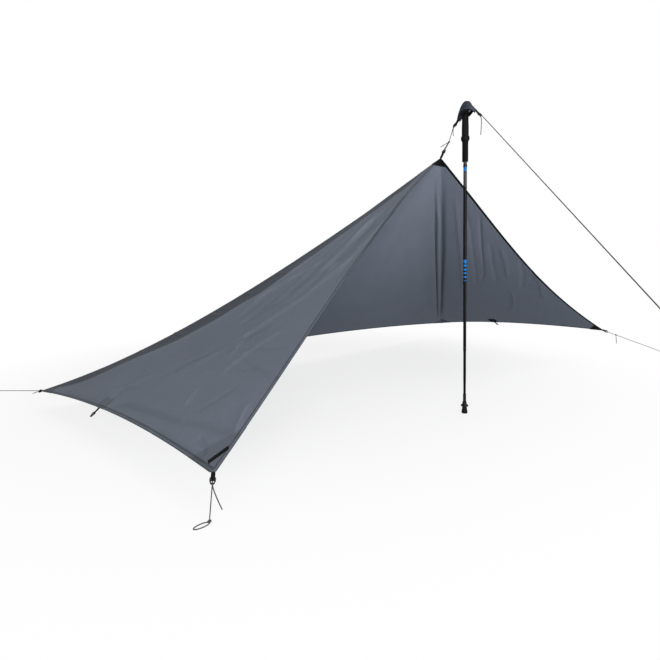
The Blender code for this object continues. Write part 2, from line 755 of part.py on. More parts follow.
def hood_point(along, girth):
    """A point of the hood's inner face: along from front -1 to rear 1, girth from hem to hem."""
    along = math.copysign(abs(along) ** HOOD_SPACING_POWER, along)
    reach = along * (HOOD_FRONT_REACH if along < 0.0 else HOOD_REAR_REACH)
    crown = hood_crown(reach)
    full = 1.0 - abs(along) ** HOOD_TAPER_POWER
    half = HOOD_END_HALF_WIDTH + (HOOD_HALF_WIDTH - HOOD_END_HALF_WIDTH) * full
    top = GRIP_TOP + SEAT_GAP
    hem = (top - HOOD_SKIRT) * full + (crown - HOOD_END_SKIRT) * (1.0 - full)
    turn = girth * math.pi / 2
    aside = half * math.copysign(abs(math.sin(turn)) ** HOOD_POWER, girth)
    height = hem + (crown - hem) * abs(math.cos(turn)) ** HOOD_POWER
    return by_pole(reach, height, aside)


def make_hood(group, finish):
    """The fabric hood: one thin shell over the end of the grip."""
    bm = bmesh.new()
    bmesh.ops.create_grid(bm, x_segments=HOOD_LENGTH_FACES, y_segments=HOOD_GIRTH_FACES, size=1.0)
    for vert in bm.verts:
        vert.co = hood_point(vert.co.x, vert.co.y)
    bm.normal_update()
    bm.faces.ensure_lookup_table()
    if bm.faces[len(bm.faces) // 2].normal.z < 0.0:
        bmesh.ops.reverse_faces(bm, faces=bm.faces[:])
    hood = object_from("hood", bm, group, finish)
    solidify(hood, HOOD_THICKNESS)
    hood.modifiers["Thickness"].offset = 1.0
    return hood


def make_grip(group, finish):
    """The moulded grip: a domed head, a waist, a flared lower lip and a blind bore for the tube."""
    bore = UPPER_RADIUS + SEAT_GAP
    profile = []
    for step in range(DOME_POINTS + 1):
        turn = math.pi / 2 * step / DOME_POINTS
        radius = GRIP_RADIUS * math.sin(turn)
        profile.append((radius, GRIP_TOP - GRIP_DOME * (1.0 - math.cos(turn))))
    waist = GRIP_TOP - GRIP_WAIST_DROP
    flare = GRIP_BOTTOM + GRIP_FLARE_RISE
    profile.append(((GRIP_RADIUS + GRIP_WAIST_RADIUS) / 2, (GRIP_TOP - GRIP_DOME + waist) / 2))
    profile.append((GRIP_WAIST_RADIUS, waist))
    profile.append((GRIP_RADIUS, (waist + flare) / 2))
    profile.append((GRIP_RADIUS, flare + GRIP_FLARE_TALL))
    profile.append((GRIP_FLARE_RADIUS, flare + GRIP_FLARE_TALL / 3))
    profile.append((GRIP_FLARE_RADIUS, flare - GRIP_FLARE_TALL / 3))
    profile.append((GRIP_RADIUS, GRIP_BOTTOM))
    profile.append((bore, GRIP_BOTTOM))
    profile.append((bore, UPPER_TOP + SEAT_GAP))
    profile.append((0.0, UPPER_TOP + SEAT_GAP))
    return turned("grip", profile, group, finish)


def make_foam(group, finish):
    """The foam sleeve below the grip, for a shorter hold."""
    top = FOAM_TOP
    bore = UPPER_RADIUS + SEAT_GAP
    middle = (top + FOAM_BOTTOM) / 2
    profile = [
        (FOAM_END_RADIUS, top),
        (FOAM_RADIUS, top - FOAM_EDGE * 2),
        (FOAM_RADIUS, middle),
        (FOAM_RADIUS, FOAM_BOTTOM + FOAM_EDGE * 2),
        (FOAM_END_RADIUS, FOAM_BOTTOM + FOAM_EDGE / 2),
        (FOAM_END_RADIUS - FOAM_EDGE, FOAM_BOTTOM),
        (bore, FOAM_BOTTOM),
        (bore, top),
    ]
    return turned("foam_extension", profile, group, finish, closed=True)


def make_neck_collar(group, finish):
    """The ring that closes the neck below the foam."""
    bore = UPPER_RADIUS + SEAT_GAP
    edge = NECK_COLLAR_RADIUS - NECK_COLLAR_EDGE / 2
    profile = [
        (edge, NECK_COLLAR_TOP),
        (NECK_COLLAR_RADIUS, NECK_COLLAR_TOP - NECK_COLLAR_EDGE),
        (NECK_COLLAR_RADIUS, NECK_COLLAR_BOTTOM + NECK_COLLAR_EDGE),
        (edge, NECK_COLLAR_BOTTOM),
        (bore, NECK_COLLAR_BOTTOM),
        (bore, NECK_COLLAR_TOP),
    ]
    return turned("neck_collar", profile, group, finish, closed=True)


def make_expander(name, tube_bore, tube_top, parts, cutters, sleeve_finish, screw_finish):
    """A twist-lock: a slotted sleeve on a screw that stands in a plug at the top of a tube."""
    inner_bore, outer_bore = tube_bore
    flange = tube_top + SEAT_GAP + PLUG_FLANGE
    bottom = flange + SEAT_GAP
    top = bottom + EXPANDER_LENGTH
    radius = outer_bore - SEAT_GAP
    bore = SCREW_RADIUS + SEAT_GAP
    rim = radius - EXPANDER_CONE_RIM
    profile = [(radius, top), (radius, bottom), (bore, bottom), (bore, top - EXPANDER_CONE_DEPTH)]
    sleeve = turned(name + "_expander", profile + [(rim, top)], parts, sleeve_finish, closed=True)
    for turn in (0.0, math.pi / 2):
        bm = bmesh.new()
        bmesh.ops.create_cube(bm, size=1.0)
        tall = EXPANDER_SLOT_DEPTH + OVERRUN
        size = Matrix.Diagonal((2 * radius + OVERRUN, EXPANDER_SLOT, tall, 1.0))
        place = Matrix.Translation((0.0, 0.0, top + OVERRUN - tall / 2))
        bm.transform(place @ Matrix.Rotation(turn, 4, "Z") @ size)
        slot = as_cutter(object_from(f"{name}_slot_{round(math.degrees(turn))}", bm, cutters))
        combine(sleeve, slot, "DIFFERENCE")
    cone_bottom = top - EXPANDER_CONE_DEPTH + SEAT_GAP * 2
    cone_top = cone_bottom + CONE_LENGTH
    slope = (rim - bore) / EXPANDER_CONE_DEPTH
    cone_radius = bore + slope * CONE_LENGTH - SEAT_GAP * 2
    plug = inner_bore - SEAT_GAP
    lip = inner_bore + TUBE_WALL / 2
    profile = [
        (0.0, cone_top),
        (cone_radius, cone_top),
        (SCREW_RADIUS, cone_bottom),
        (SCREW_RADIUS, flange),
        (lip, flange),
        (lip, tube_top + SEAT_GAP),
        (plug, tube_top + SEAT_GAP),
        (plug, tube_top - PLUG_LENGTH),
        (0.0, tube_top - PLUG_LENGTH),
    ]
    turned(name + "_screw", profile, parts, screw_finish, steps=SMALL_TURN_STEPS)


def make_pole(parts, cutters, finishes):
    """The whole pole, from grip to foot."""
    make_grip(parts, finishes["grip_rubber"])
    make_foam(parts, finishes["foam"])
    make_neck_collar(parts, finishes["black_plastic"])
    upper_bore = UPPER_RADIUS - TUBE_WALL
    middle_bore = MIDDLE_RADIUS - TUBE_WALL
    lower_bore = LOWER_RADIUS - TUBE_WALL
    tube = finishes["pole_tube"]
    upper = tube_profile(UPPER_RADIUS, upper_bore, UPPER_TOP, UPPER_BOTTOM)
    turned("upper_shaft", upper, parts, tube, closed=True)
    middle = tube_profile(MIDDLE_RADIUS, middle_bore, MIDDLE_TOP, MIDDLE_BOTTOM)
    turned("middle_shaft", middle, parts, tube, closed=True)
    narrow = LOWER_BOTTOM + LOWER_END_LENGTH
    wide = narrow + LOWER_TAPER
    lower = [
        (LOWER_RADIUS, LOWER_TOP),
        (LOWER_RADIUS, wide),
        (LOWER_END_RADIUS, narrow),
        (LOWER_END_RADIUS, LOWER_BOTTOM),
        (LOWER_END_RADIUS - TUBE_WALL, LOWER_BOTTOM),
        (LOWER_END_RADIUS - TUBE_WALL, narrow),
        (lower_bore, wide),
        (lower_bore, LOWER_TOP),
    ]
    turned("lower_shaft", lower, parts, tube, closed=True)
    sleeve, screw = finishes["white_plastic"], finishes["steel"]
    bores = (middle_bore, upper_bore)
    make_expander("middle", bores, MIDDLE_TOP, parts, cutters, sleeve, screw)
    bores = (lower_bore, middle_bore)
    make_expander("lower", bores, LOWER_TOP, parts, cutters, sleeve, screw)
    make_tip(parts, finishes)


def make_tip(parts, finishes):
    """The pole's lower end: ferrule, carbide tip, basket and rubber foot."""
    socket = LOWER_END_RADIUS + SEAT_GAP
    ferrule = [
        (0.0, SOCKET_FLOOR),
        (socket, SOCKET_FLOOR),
        (socket, FERRULE_TOP),
        (FERRULE_RADIUS, FERRULE_TOP - SEAT_GAP),
        (FERRULE_RADIUS, FERRULE_STEP),
        (FERRULE_NECK_RADIUS, FERRULE_STEP),
        (FERRULE_NECK_RADIUS, FOOT_HEIGHT),
        (FERRULE_TIP_RADIUS, FERRULE_BOTTOM),
        (CARBIDE_RADIUS + SEAT_GAP, FERRULE_BOTTOM),
        (CARBIDE_RADIUS + SEAT_GAP, CARBIDE_TOP + SEAT_GAP),
        (0.0, CARBIDE_TOP + SEAT_GAP),
    ]
    turned("tip_ferrule", ferrule, parts, finishes["black_plastic"])
    carbide = [
        (0.0, CARBIDE_TOP),
        (CARBIDE_RADIUS, CARBIDE_TOP),
        (CARBIDE_RADIUS, CARBIDE_BOTTOM),
        (0.0, CARBIDE_BOTTOM),
    ]
    turned("carbide_tip", carbide, parts, finishes["steel"], steps=SMALL_TURN_STEPS)
    bore = FERRULE_NECK_RADIUS + SEAT_GAP
    rim = BASKET_BOTTOM + BASKET_RIM
    basket = [
        (BASKET_HUB_RADIUS, BASKET_TOP),
        (BASKET_HUB_RADIUS, BASKET_TOP - BASKET_HUB_LENGTH),
        (BASKET_RADIUS - BASKET_RIM / 2, rim + BASKET_RIM / 2),
        (BASKET_RADIUS, rim),
        (BASKET_RADIUS, BASKET_BOTTOM),
        (bore, BASKET_BOTTOM),
        (bore, BASKET_TOP),
    ]
    turned("basket", basket, parts, finishes["black_plastic"], closed=True)
    foot = [
        (0.0, FOOT_FLOOR),
        (bore, FOOT_FLOOR),
        (bore, FOOT_HEIGHT),
        (FOOT_TOP_RADIUS, FOOT_HEIGHT - FOOT_EDGE),
        (FOOT_TOP_RADIUS, FOOT_NECK_HEIGHT),
        (FOOT_RADIUS, FOOT_FLARE_HEIGHT),
        (FOOT_RADIUS, FOOT_EDGE),
        (FOOT_RADIUS - FOOT_EDGE, 0.0),
        (0.0, 0.0),
    ]
    turned("rubber_foot", foot, parts, finishes["foot_rubber"])


def corner_outward(corner, *others):
    """The direction that leads out of the cloth at a corner, away from its neighbours."""
    return -sum(((other - corner).normalized() for other in others), Vector())


def make_ties(canopy):
    """The tie-outs, by name."""
    up = Vector((0.0, 0.0, 1.0))
    ties = {}
    for name, place, others, peg, across in (
        ("rear_left", REAR_LEFT, (FRONT_LEFT, REAR_RIGHT), REAR_LEFT_PEG, FRONT_LEFT - REAR_LEFT),
        ("front_left", FRONT_LEFT, (REAR_LEFT, APEX), FRONT_LEFT_PEG, HOOD_ACROSS),
        ("front_right", FRONT_RIGHT, (REAR_RIGHT, APEX), FRONT_RIGHT_PEG, up),
        ("rear_right", REAR_RIGHT, (REAR_LEFT, FRONT_RIGHT), None, FRONT_RIGHT - REAR_RIGHT),
    ):
        outward = corner_outward(place, *others)
        pull = knot_centre(Vector((*peg, 0.0))) - place if peg else outward
        ties[name] = Tie(place, outward, pull, across, CORNER_CUT, CORNER_WEBBING)
    for name, column in (("side_left", SIDE_LOOP_COLUMN), ("side_right", COLUMNS - SIDE_LOOP_COLUMN)):
        place = canopy.grid_point(column, ROWS)
        before = canopy.grid_point(column - 1, ROWS)
        after = canopy.grid_point(column + 1, ROWS)
        pull = -inward(before, after, APEX)
        ties[name] = Tie(place, pull, pull, after - before, 0.0, SIDE_WEBBING)
    outward = corner_outward(APEX, FRONT_LEFT, REAR_LEFT, REAR_RIGHT, FRONT_RIGHT)
    pull = by_pole(-1.0, APEX_STRAP_SLOPE)
    ties["apex"] = Tie(APEX, outward, pull, HOOD_ACROSS, APEX_CUT, APEX_WEBBING)
    for name, reach, slope, webbing in (
        ("hood_front", -HOOD_FRONT_REACH, HOOD_STRAP_SLOPE_FRONT, HOOD_FRONT_WEBBING),
        ("hood_rear", HOOD_REAR_REACH, HOOD_STRAP_SLOPE_REAR, HOOD_REAR_WEBBING),
    ):
        outward = by_pole(math.copysign(1.0, reach), 0.0)
        pull = outward - up * slope
        place = by_pole(reach, hood_crown(reach))
        ties[name] = Tie(place, outward, pull, HOOD_ACROSS, -HOOD_THICKNESS, webbing, True)
    return ties


CORNER_TIES = ("rear_left", "front_left", "front_right", "rear_right")


def trim_to_ties(bm, ties):
    """Cut the corners and the apex of a sheet square, where the webbing leaves it."""
    for name in (*CORNER_TIES, "apex"):
        cut_away(bm, ties[name].seat, ties[name].normal, TRIM_REACH)


def make_cloth(canopy, ties, parts, finishes):
    """The canopy with its front tapes and its patches."""
    bm = canopy.sheet()
    trim_to_ties(bm, ties)
    cloth = object_from("canopy", bm, parts, finishes["ripstop"])
    solidify(cloth, CLOTH_THICKNESS)
    for name, first in (("front_tape_left", 0), ("front_tape_right", COLUMNS - 1)):
        bm = canopy.sheet((first, first + 1))
        moved_in(bm, INNER_LAYER + TAPE_THICKNESS / 2)
        trim_to_ties(bm, ties)
        solidify(object_from(name, bm, parts, finishes["black_webbing"]), TAPE_THICKNESS)
    for name in CORNER_TIES:
        tie = ties[name]
        bm = canopy.sheet()
        cut_away(bm, tie.seat - tie.outward * CORNER_PATCH, -tie.outward)
        depth = OVER_TAPE if name.startswith("front") else INNER_LAYER
        patch(name + "_patch", bm, depth, ties, parts, finishes)
    for name in ("side_left", "side_right"):
        tie = ties[name]
        bm = canopy.sheet()
        along = tie.turn.col[1]
        cut_away(bm, tie.seat + along * SIDE_PATCH_LENGTH / 2, along)
        cut_away(bm, tie.seat - along * SIDE_PATCH_LENGTH / 2, -along)
        cut_away(bm, tie.seat - tie.outward * SIDE_PATCH_DEPTH, -tie.outward)
        patch(name + "_patch", bm, INNER_LAYER, ties, parts, finishes)
    tie = ties["apex"]
    for name, depth in (("apex_patch_inner", OVER_TAPE), ("apex_patch_outer", -INNER_LAYER)):
        bm = canopy.sheet(apex_columns(), (0, 1))
        cut_away(bm, tie.seat - tie.outward * APEX_PATCH_DEPTH, -tie.outward)
        hole = APEX_PATCH_HOLE if depth < 0.0 else APEX_INNER_HOLE
        cut_away(bm, tie.seat - tie.outward * hole, tie.outward)
        patch(name, bm, depth, ties, parts, finishes)


def apex_columns():
    """The grid's columns without those that crowd the ridges, where the cloth is narrow."""
    crowded = {LEFT_RIDGE_COLUMN - 1, LEFT_RIDGE_COLUMN + 1, LEFT_RIDGE_COLUMN + 2}
    crowded |= {COLUMNS - column for column in crowded}
    return [column for column in range(COLUMNS + 1) if column not in crowded]


def patch(name, bm, depth, ties, parts, finishes):
    """A reinforcement that lies a layer's depth from the cloth: inside it, or outside if negative."""
    moved_in(bm, depth + math.copysign(PATCH_THICKNESS / 2, depth))
    trim_to_ties(bm, ties)
    solidify(object_from(name, bm, parts, finishes["black_webbing"]), PATCH_THICKNESS)


def make_hardware(ties, parts, finishes):
    """The webbing loop and the line-lock buckle of each tie-out."""
    for name, tie in ties.items():
        webbing_loop(tie, name + "_webbing", parts, finishes["black_webbing"])
        buckle(tie, name + "_buckle", parts, finishes["black_plastic"])


def peg_direction(peg, pull):
    """Where a peg loop points: along its cord's pull, or away from the pole below a steep cord."""
    flat = Vector((pull.x, pull.y, 0.0))
    return flat if flat.length > STEEP_SHARE else peg.normalized()


def make_cords(ties, parts, cutters, finish):
    """The cords, their knots and their peg loops."""
    clear = SEAT_GAP + KNOT_LENGTH / 2
    pegs = {
        "rear_left": (REAR_LEFT_PEG, REAR_LEFT_TAIL),
        "front_left": (FRONT_LEFT_PEG, FRONT_LEFT_TAIL),
        "front_right": (FRONT_RIGHT_PEG, FRONT_RIGHT_TAIL),
        "guyline": (GUYLINE_PEG, GUYLINE_TAIL),
    }
    for name, (place, tail) in pegs.items():
        tie = ties["hood_front" if name == "guyline" else name]
        peg = Vector((*place, 0.0))
        aim = knot_centre(peg)
        pull = (aim - tie.nose).normalized()
        away = peg_direction(peg, pull)
        peg_loop(name + "_peg_loop", peg, away, parts, cutters, finish)
        if name == "front_right":
            middle = tie.nose + pull * FRONT_RIGHT_KNOT_REACH
            knotted_loop(name, tie, middle, tail, parts, finish)
            route = [middle + pull * clear]
        else:
            turn = round_bar(tie)
            route = hanging(turn[0], tie.pull, turn[0] + Vector(tail))[::-1] + turn[1:]
        end = aim - (aim - route[-1]).normalized() * (SEAT_GAP + knot_reach(away, pull))
        cord(name + "_cord", route[:-1] + run(route[-1], end) + [end], parts, finish)
    middle = by_pole(LINK_KNOT_REACH, GRIP_TOP - LINK_KNOT_DROP)
    knotted_loop("link", ties["apex"], middle, LINK_KNOT_TAIL, parts, finish)
    turn = round_bar(ties["hood_rear"])
    pull = (turn[0] - middle).normalized()
    away = middle - ties["apex"].nose
    route = [middle + pull * (SEAT_GAP + knot_reach(away, pull)), *turn[:-1]]
    route += hanging(turn[-1], ties["hood_rear"].pull, turn[-1] + Vector(LINK_TAIL))
    cord("link_cord", route, parts, finish)


def knotted_loop(name, tie, middle, tail, parts, finish):
    """A loop of cord from a knot, round the nose bar of a buckle and back, with the knot's tail."""
    turn = round_bar(tie)
    pull = (middle - tie.nose).normalized()
    clear = pull * (SEAT_GAP + KNOT_LENGTH / 2)
    apart = (turn[-1] - turn[0]).normalized() * CORD_SPACING / 2
    route = [middle - apart - clear, *turn, middle + apart - clear]
    cord(name + "_loop", route, parts, finish)
    knot(name + "_knot", middle, pull, parts, finish)
    out = Vector(tail).normalized() * (SEAT_GAP + KNOT_WIDTH / 2)
    cord(name + "_knot_tail", [middle + out, middle + out + Vector(tail)], parts, finish)


def main():
    """Build every piece."""
    clear_scene()
    parts = collection("trekking_pole_tent")
    cutters = collection("cutters")
    finishes = {
        "ripstop": material("ripstop nylon", 0x5D, 0x62, 0x6C, 0.62),
        "black_webbing": material("black webbing", 0x18, 0x18, 0x1A, 0.85),
        "black_plastic": material("black acetal", 0x14, 0x14, 0x15, 0.45),
        "cord": material("grey cord", 0x86, 0x84, 0x80, 0.80),
        "grip_rubber": material("black grip rubber", 0x12, 0x12, 0x13, 0.75),
        "foam": material("black foam", 0x15, 0x15, 0x16, 0.90),
        "pole_tube": material("black anodised tube", 0x10, 0x10, 0x12, 0.28, 0.6),
        "white_plastic": material("natural nylon", 0xDD, 0xDB, 0xD2, 0.50),
        "steel": material("zinc plated steel", 0xB4, 0xB4, 0xB0, 0.35, 1.0),
        "foot_rubber": material("black foot rubber", 0x1A, 0x1A, 0x1A, 0.80),
    }
    canopy = Canopy()
    ties = make_ties(canopy)
    make_cloth(canopy, ties, parts, finishes)
    make_hood(parts, finishes["ripstop"])
    make_hardware(ties, parts, finishes)
    make_cords(ties, parts, cutters, finishes["cord"])
    make_pole(parts, cutters, finishes)


if __name__ == "__main__":
    main()
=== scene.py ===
import logging
import math
import random
from dataclasses import dataclass
from enum import Enum
from typing import Any, Callable, Iterable

import bmesh
import bpy
import numpy as np
from mathutils import Matrix, Vector


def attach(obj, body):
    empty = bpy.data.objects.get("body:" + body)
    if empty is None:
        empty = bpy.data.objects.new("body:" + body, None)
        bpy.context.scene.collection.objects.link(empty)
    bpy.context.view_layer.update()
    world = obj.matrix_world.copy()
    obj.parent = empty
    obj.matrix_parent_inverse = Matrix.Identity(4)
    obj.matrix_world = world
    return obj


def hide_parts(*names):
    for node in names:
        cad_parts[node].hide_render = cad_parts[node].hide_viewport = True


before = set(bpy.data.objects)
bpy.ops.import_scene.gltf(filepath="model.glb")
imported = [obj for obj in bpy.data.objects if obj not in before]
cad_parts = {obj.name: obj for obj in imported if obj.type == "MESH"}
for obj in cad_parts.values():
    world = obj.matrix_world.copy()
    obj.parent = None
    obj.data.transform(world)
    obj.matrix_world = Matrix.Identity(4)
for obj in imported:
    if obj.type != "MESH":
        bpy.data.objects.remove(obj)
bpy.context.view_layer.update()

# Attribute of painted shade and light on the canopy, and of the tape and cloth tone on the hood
PAINTED_SHADE_AND_TONE = "painted_shade_and_tone"
UP = Vector((0.0, 0.0, 1.0))
log = logging.getLogger("shelter")
Flat = tuple[float, float]
Place = tuple[float, float, float]
Plane = tuple[Vector, Vector]
Mesh = bmesh.types.BMesh
Piece = bpy.types.Object
Socket = bpy.types.NodeSocket
Tree = bpy.types.NodeTree
Values = dict[Any, Any]


# Shared tools


@dataclass(frozen=True)
class Look:
    """A built material and the record's slot that it fills."""

    material: bpy.types.Material
    slot: str


def linear(colour: str) -> tuple[float, float, float, float]:
    """The linear values that a shader takes for six hex digits of sRGB."""
    channels = [int(colour[i : i + 2], 16) / 255.0 for i in (0, 2, 4)]
    curve = [c / 12.92 if c <= 0.04045 else ((c + 0.055) / 1.055) ** 2.4 for c in channels]
    return (curve[0], curve[1], curve[2], 1.0)


def put(tree: Tree, node: bpy.types.Node, values: Values) -> None:
    """Set or link a node's inputs, by number or name, and set its own properties."""
    for key, value in values.items():
        if isinstance(key, str) and key not in node.inputs:
            setattr(node, key, value)
        elif isinstance(value, Socket):
            tree.links.new(value, node.inputs[key])
        else:
            node.inputs[key].default_value = value


def add(tree: Tree, kind: str, inputs: Any = (), out: int | str = 0, **named: Any) -> Socket:
    """Add a node with its settings and links.

    Args:
        tree: the node tree it goes into.
        kind: its type, without the ShaderNode prefix, and its operation if it has several.
        inputs: values to set or outputs to link, in turn or by input number.
        out: the output that is wanted.
        named: further inputs, and the node's own properties, by name.

    Returns:
        That output.
    """
    kind, _, operation = kind.partition(" ")
    node = tree.nodes.new("ShaderNode" + kind)
    if operation:
        node.operation = operation
    put(tree, node, inputs if isinstance(inputs, dict) else dict(enumerate(inputs)))
    put(tree, node, named)
    return node.outputs[out]


def between(start: Vector, end: Vector, share: float) -> Vector:
    """The point at a share of the way from start to end."""
    return start + (end - start) * share


def shares(count: int) -> list[float]:
    """The shares, 0 to 1, that part something in a number of steps."""
    return [index / count for index in range(count + 1)]


def eased(share: float) -> float:
    """A share that starts and ends level."""
    return share * share * (3.0 - 2.0 * share)


def bow_at(share: float, skew: float = 0.0) -> float:
    """The height of a shallow bow, 1 in its middle, that leans by its skew."""
    return 4.0 * share * (1.0 - share) * (1.0 + skew * (2.0 * share - 1.0))


def inward(start: Vector, end: Vector, inside: Vector) -> Vector:
    """The unit direction square to a line, towards a point."""
    line = (end - start).normalized()
    away = inside - start
    return (away - line * away.dot(line)).normalized()


def flat_axes(direction: Vector, across: Vector) -> Matrix:
    """A turn whose X runs along a direction and whose Y lies as near across as it can."""
    along = direction.normalized()
    side = (across - along * across.dot(along)).normalized()
    return Matrix((along, side, along.cross(side))).transposed()


def placed(name: str, data: bpy.types.ID) -> Piece:
    """A new object at the origin of the scene."""
    made = bpy.data.objects.new(name, data)
    bpy.context.scene.collection.objects.link(made)
    return made


def meshed(name: str, bm: Mesh, material: bpy.types.Material) -> Piece:
    """A new object from a bmesh, which is freed."""
    mesh = bpy.data.meshes.new(name)
    bm.to_mesh(mesh)
    bm.free()
    mesh.materials.append(material)
    return placed(name, mesh)


def piece(
    name: str,
    bm: Mesh,
    look: Look,
    nodes: tuple[str, ...] = (),
    body: str = "tent",
    sharp: float = 38.0,
) -> Piece:
    """Make a finished piece and put it on its body.

    Args:
        name: the piece's name.
        bm: its mesh, which is freed.
        look: its material and slot.
        nodes: the solids that it stands for.
        body: the body that carries it.
        sharp: the angle in degrees past which an edge stays crisp.

    Returns:
        The object, at the origin.
    """
    made = meshed(name, bm, look.material)
    made.data.shade_smooth()
    made.data.set_sharp_from_angle(angle=math.radians(sharp))
    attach(made, body)
    if nodes:
        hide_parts(*nodes)
    log.info("%s: %d faces on %s", name, len(made.data.polygons), body)
    return made


def thicken(made: Piece, thickness: float, offset: float = 0.0) -> None:
    """Give an open sheet its thickness with a live modifier."""
    step = made.modifiers.new("Thickness", "SOLIDIFY")
    step.thickness, step.offset = thickness, offset


def soften(made: Piece, width: float, segments: int = 2) -> None:
    """Round the crisp edges of a piece, as moulding and machining leave them."""
    step = made.modifiers.new("Edges", "BEVEL")
    step.width, step.segments = width, segments
    step.limit_method, step.angle_limit = "ANGLE", math.radians(35.0)
    step.harden_normals = True


def merged_copy(node: str) -> Mesh:
    """A solid's mesh with its loose triangles joined."""
    bm, level = bmesh.new(), math.radians(0.5)
    bm.from_mesh(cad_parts[node].data)
    bmesh.ops.remove_doubles(bm, verts=bm.verts[:], dist=0.00001)
    bmesh.ops.dissolve_limit(bm, angle_limit=level, verts=bm.verts[:], edges=bm.edges[:])
    return bm


def unwrap(bm: Mesh, flat: Callable[[Vector], Iterable[float]]) -> None:
    """Give a mesh its UV map, worked out from where its points lie."""
    uv = bm.loops.layers.uv.new("UVMap")
    for face in bm.faces:
        for loop in face.loops:
            loop[uv].uv = flat(loop.vert.co)


def raise_sheet(bm: Mesh, inside: Vector, heights: Iterable[float]) -> None:
    """Turn a sheet's faces away from a point, and move its points outward by their heights."""
    bm.normal_update()
    bm.faces.ensure_lookup_table()
    middle = bm.faces[len(bm.faces) // 2]
    if middle.normal.dot(middle.calc_center_median() - inside) < 0.0:
        bmesh.ops.reverse_faces(bm, faces=bm.faces[:])
        bm.normal_update()
    for vert, height in zip(bm.verts, heights):
        vert.co += vert.normal * height
    bm.normal_update()


def cut_away(bm: Mesh, plane: Plane, reach: float = math.inf) -> None:
    """Remove the part of a sheet that lies past a plane.

    Args:
        bm: the sheet.
        plane: a point of the plane, and its normal, which leads to what goes.
        reach: how near the point a face has to come to be cut.
    """
    place, normal = plane
    faces = [f for f in bm.faces if any((v.co - place).length < reach for v in f.verts)]
    edges = {edge for face in faces for edge in face.edges}
    verts = {vert for face in faces for vert in face.verts}
    geometry = [*verts, *edges, *faces]
    bmesh.ops.bisect_plane(bm, geom=geometry, plane_co=place, plane_no=normal, clear_outer=True)


def tube(path: list[Vector], radius: float, sides: int = 12) -> Mesh:
    """Sweep a round section along a path, its frame carried along without twist.

    Args:
        path: the points of the centre line.
        radius: the tube's radius.
        sides: the faces round it.

    Returns:
        A closed tube, whose UV map holds metres along it and the share round it.
    """
    steps = [b - a for a, b in zip(path, path[1:])]
    turns = [(a.normalized() + b.normalized()).normalized() for a, b in zip(steps, steps[1:])]
    tangents = [steps[0].normalized(), *turns, steps[-1].normalized()]
    normals = [tangents[0].orthogonal().normalized()]
    for before, after in zip(tangents, tangents[1:]):
        carried = before.rotation_difference(after) @ normals[-1]
        normals.append((carried - after * carried.dot(after)).normalized())
    bm = bmesh.new()
    uv = bm.loops.layers.uv.new("UVMap")
    rings = []
    for place, tangent, normal in zip(path, tangents, normals):
        side, ring = tangent.cross(normal), []
        for column in range(sides):
            turn = 2.0 * math.pi * column / sides
            out = normal * math.cos(turn) + side * math.sin(turn)
            ring.append(bm.verts.new(place + out * radius))
        rings.append(ring)
    start = 0.0
    for near, far, step in zip(rings, rings[1:], steps):
        end = start + step.length
        for column in range(sides):
            after = (column + 1) % sides
            face = bm.faces.new((near[column], near[after], far[after], far[column]))
            marks = ((start, column), (start, column + 1), (end, column + 1), (end, column))
            for loop, (along, turned) in zip(face.loops, marks):
                loop[uv].uv = (along, turned / sides)
        start = end
    for ring in (rings[0], rings[-1]):
        bm.faces.new(ring)
    bmesh.ops.recalc_face_normals(bm, faces=bm.faces[:])
    return bm


# Finishes


class Space(Enum):
    """Where a finish reads its pattern from."""

    OBJECT = "Object"
    SURFACE = "UV"


@dataclass(frozen=True)
class Finish:
    """What every finish has: its name, the slot that it fills, a colour and a gloss."""

    name: str
    slot: str
    colour: str
    roughness: float
    specular: float = 0.5
    metallic: float = 0.0
    space: Space = Space.OBJECT

    def pattern(self, tree: Tree, place: Socket) -> Values:
        """What lies over the plain values.

        Args:
            tree: the material's nodes.
            place: the coordinates.

        Returns:
            The shader's inputs, by name.
        """
        return {}

    def build(self) -> Look:
        """Make the material: its plain values, then its pattern.

        Returns:
            The material, with its slot.
        """
        made = bpy.data.materials.new(self.name)
        made.use_nodes = True
        made.diffuse_color = linear(self.colour)
        tree = made.node_tree
        shader = tree.nodes["Principled BSDF"]
        plain = {"Base Color": linear(self.colour), "Roughness": self.roughness}
        plain |= {"Specular IOR Level": self.specular, "Metallic": self.metallic}
        put(tree, shader, plain)
        put(tree, shader, self.pattern(tree, add(tree, "TexCoord", out=self.space.value)))
        return Look(made, self.slot)

    def mottled(
        self, tree: Tree, place: Socket, size: float, spread: float, base: Socket | None = None
    ) -> Socket:
        """Vary the colour by soft patches.

        Args:
            tree: the material's nodes.
            place: the coordinates.
            size: the patches' size in metres.
            spread: how much lighter and darker they get, as a share.
            base: a colour to start from, if not the finish's own.

        Returns:
            The varied colour.
        """
        noise = add(tree, "TexNoise", Vector=place, Scale=1.0 / size, Detail=4.0)
        tone = add(tree, "MapRange", (noise, 0.3, 0.7, 1.0 - spread, 1.0 + spread))
        start = linear(self.colour)[:3] if base is None else base
        return add(tree, "VectorMath MULTIPLY", (start, tone))


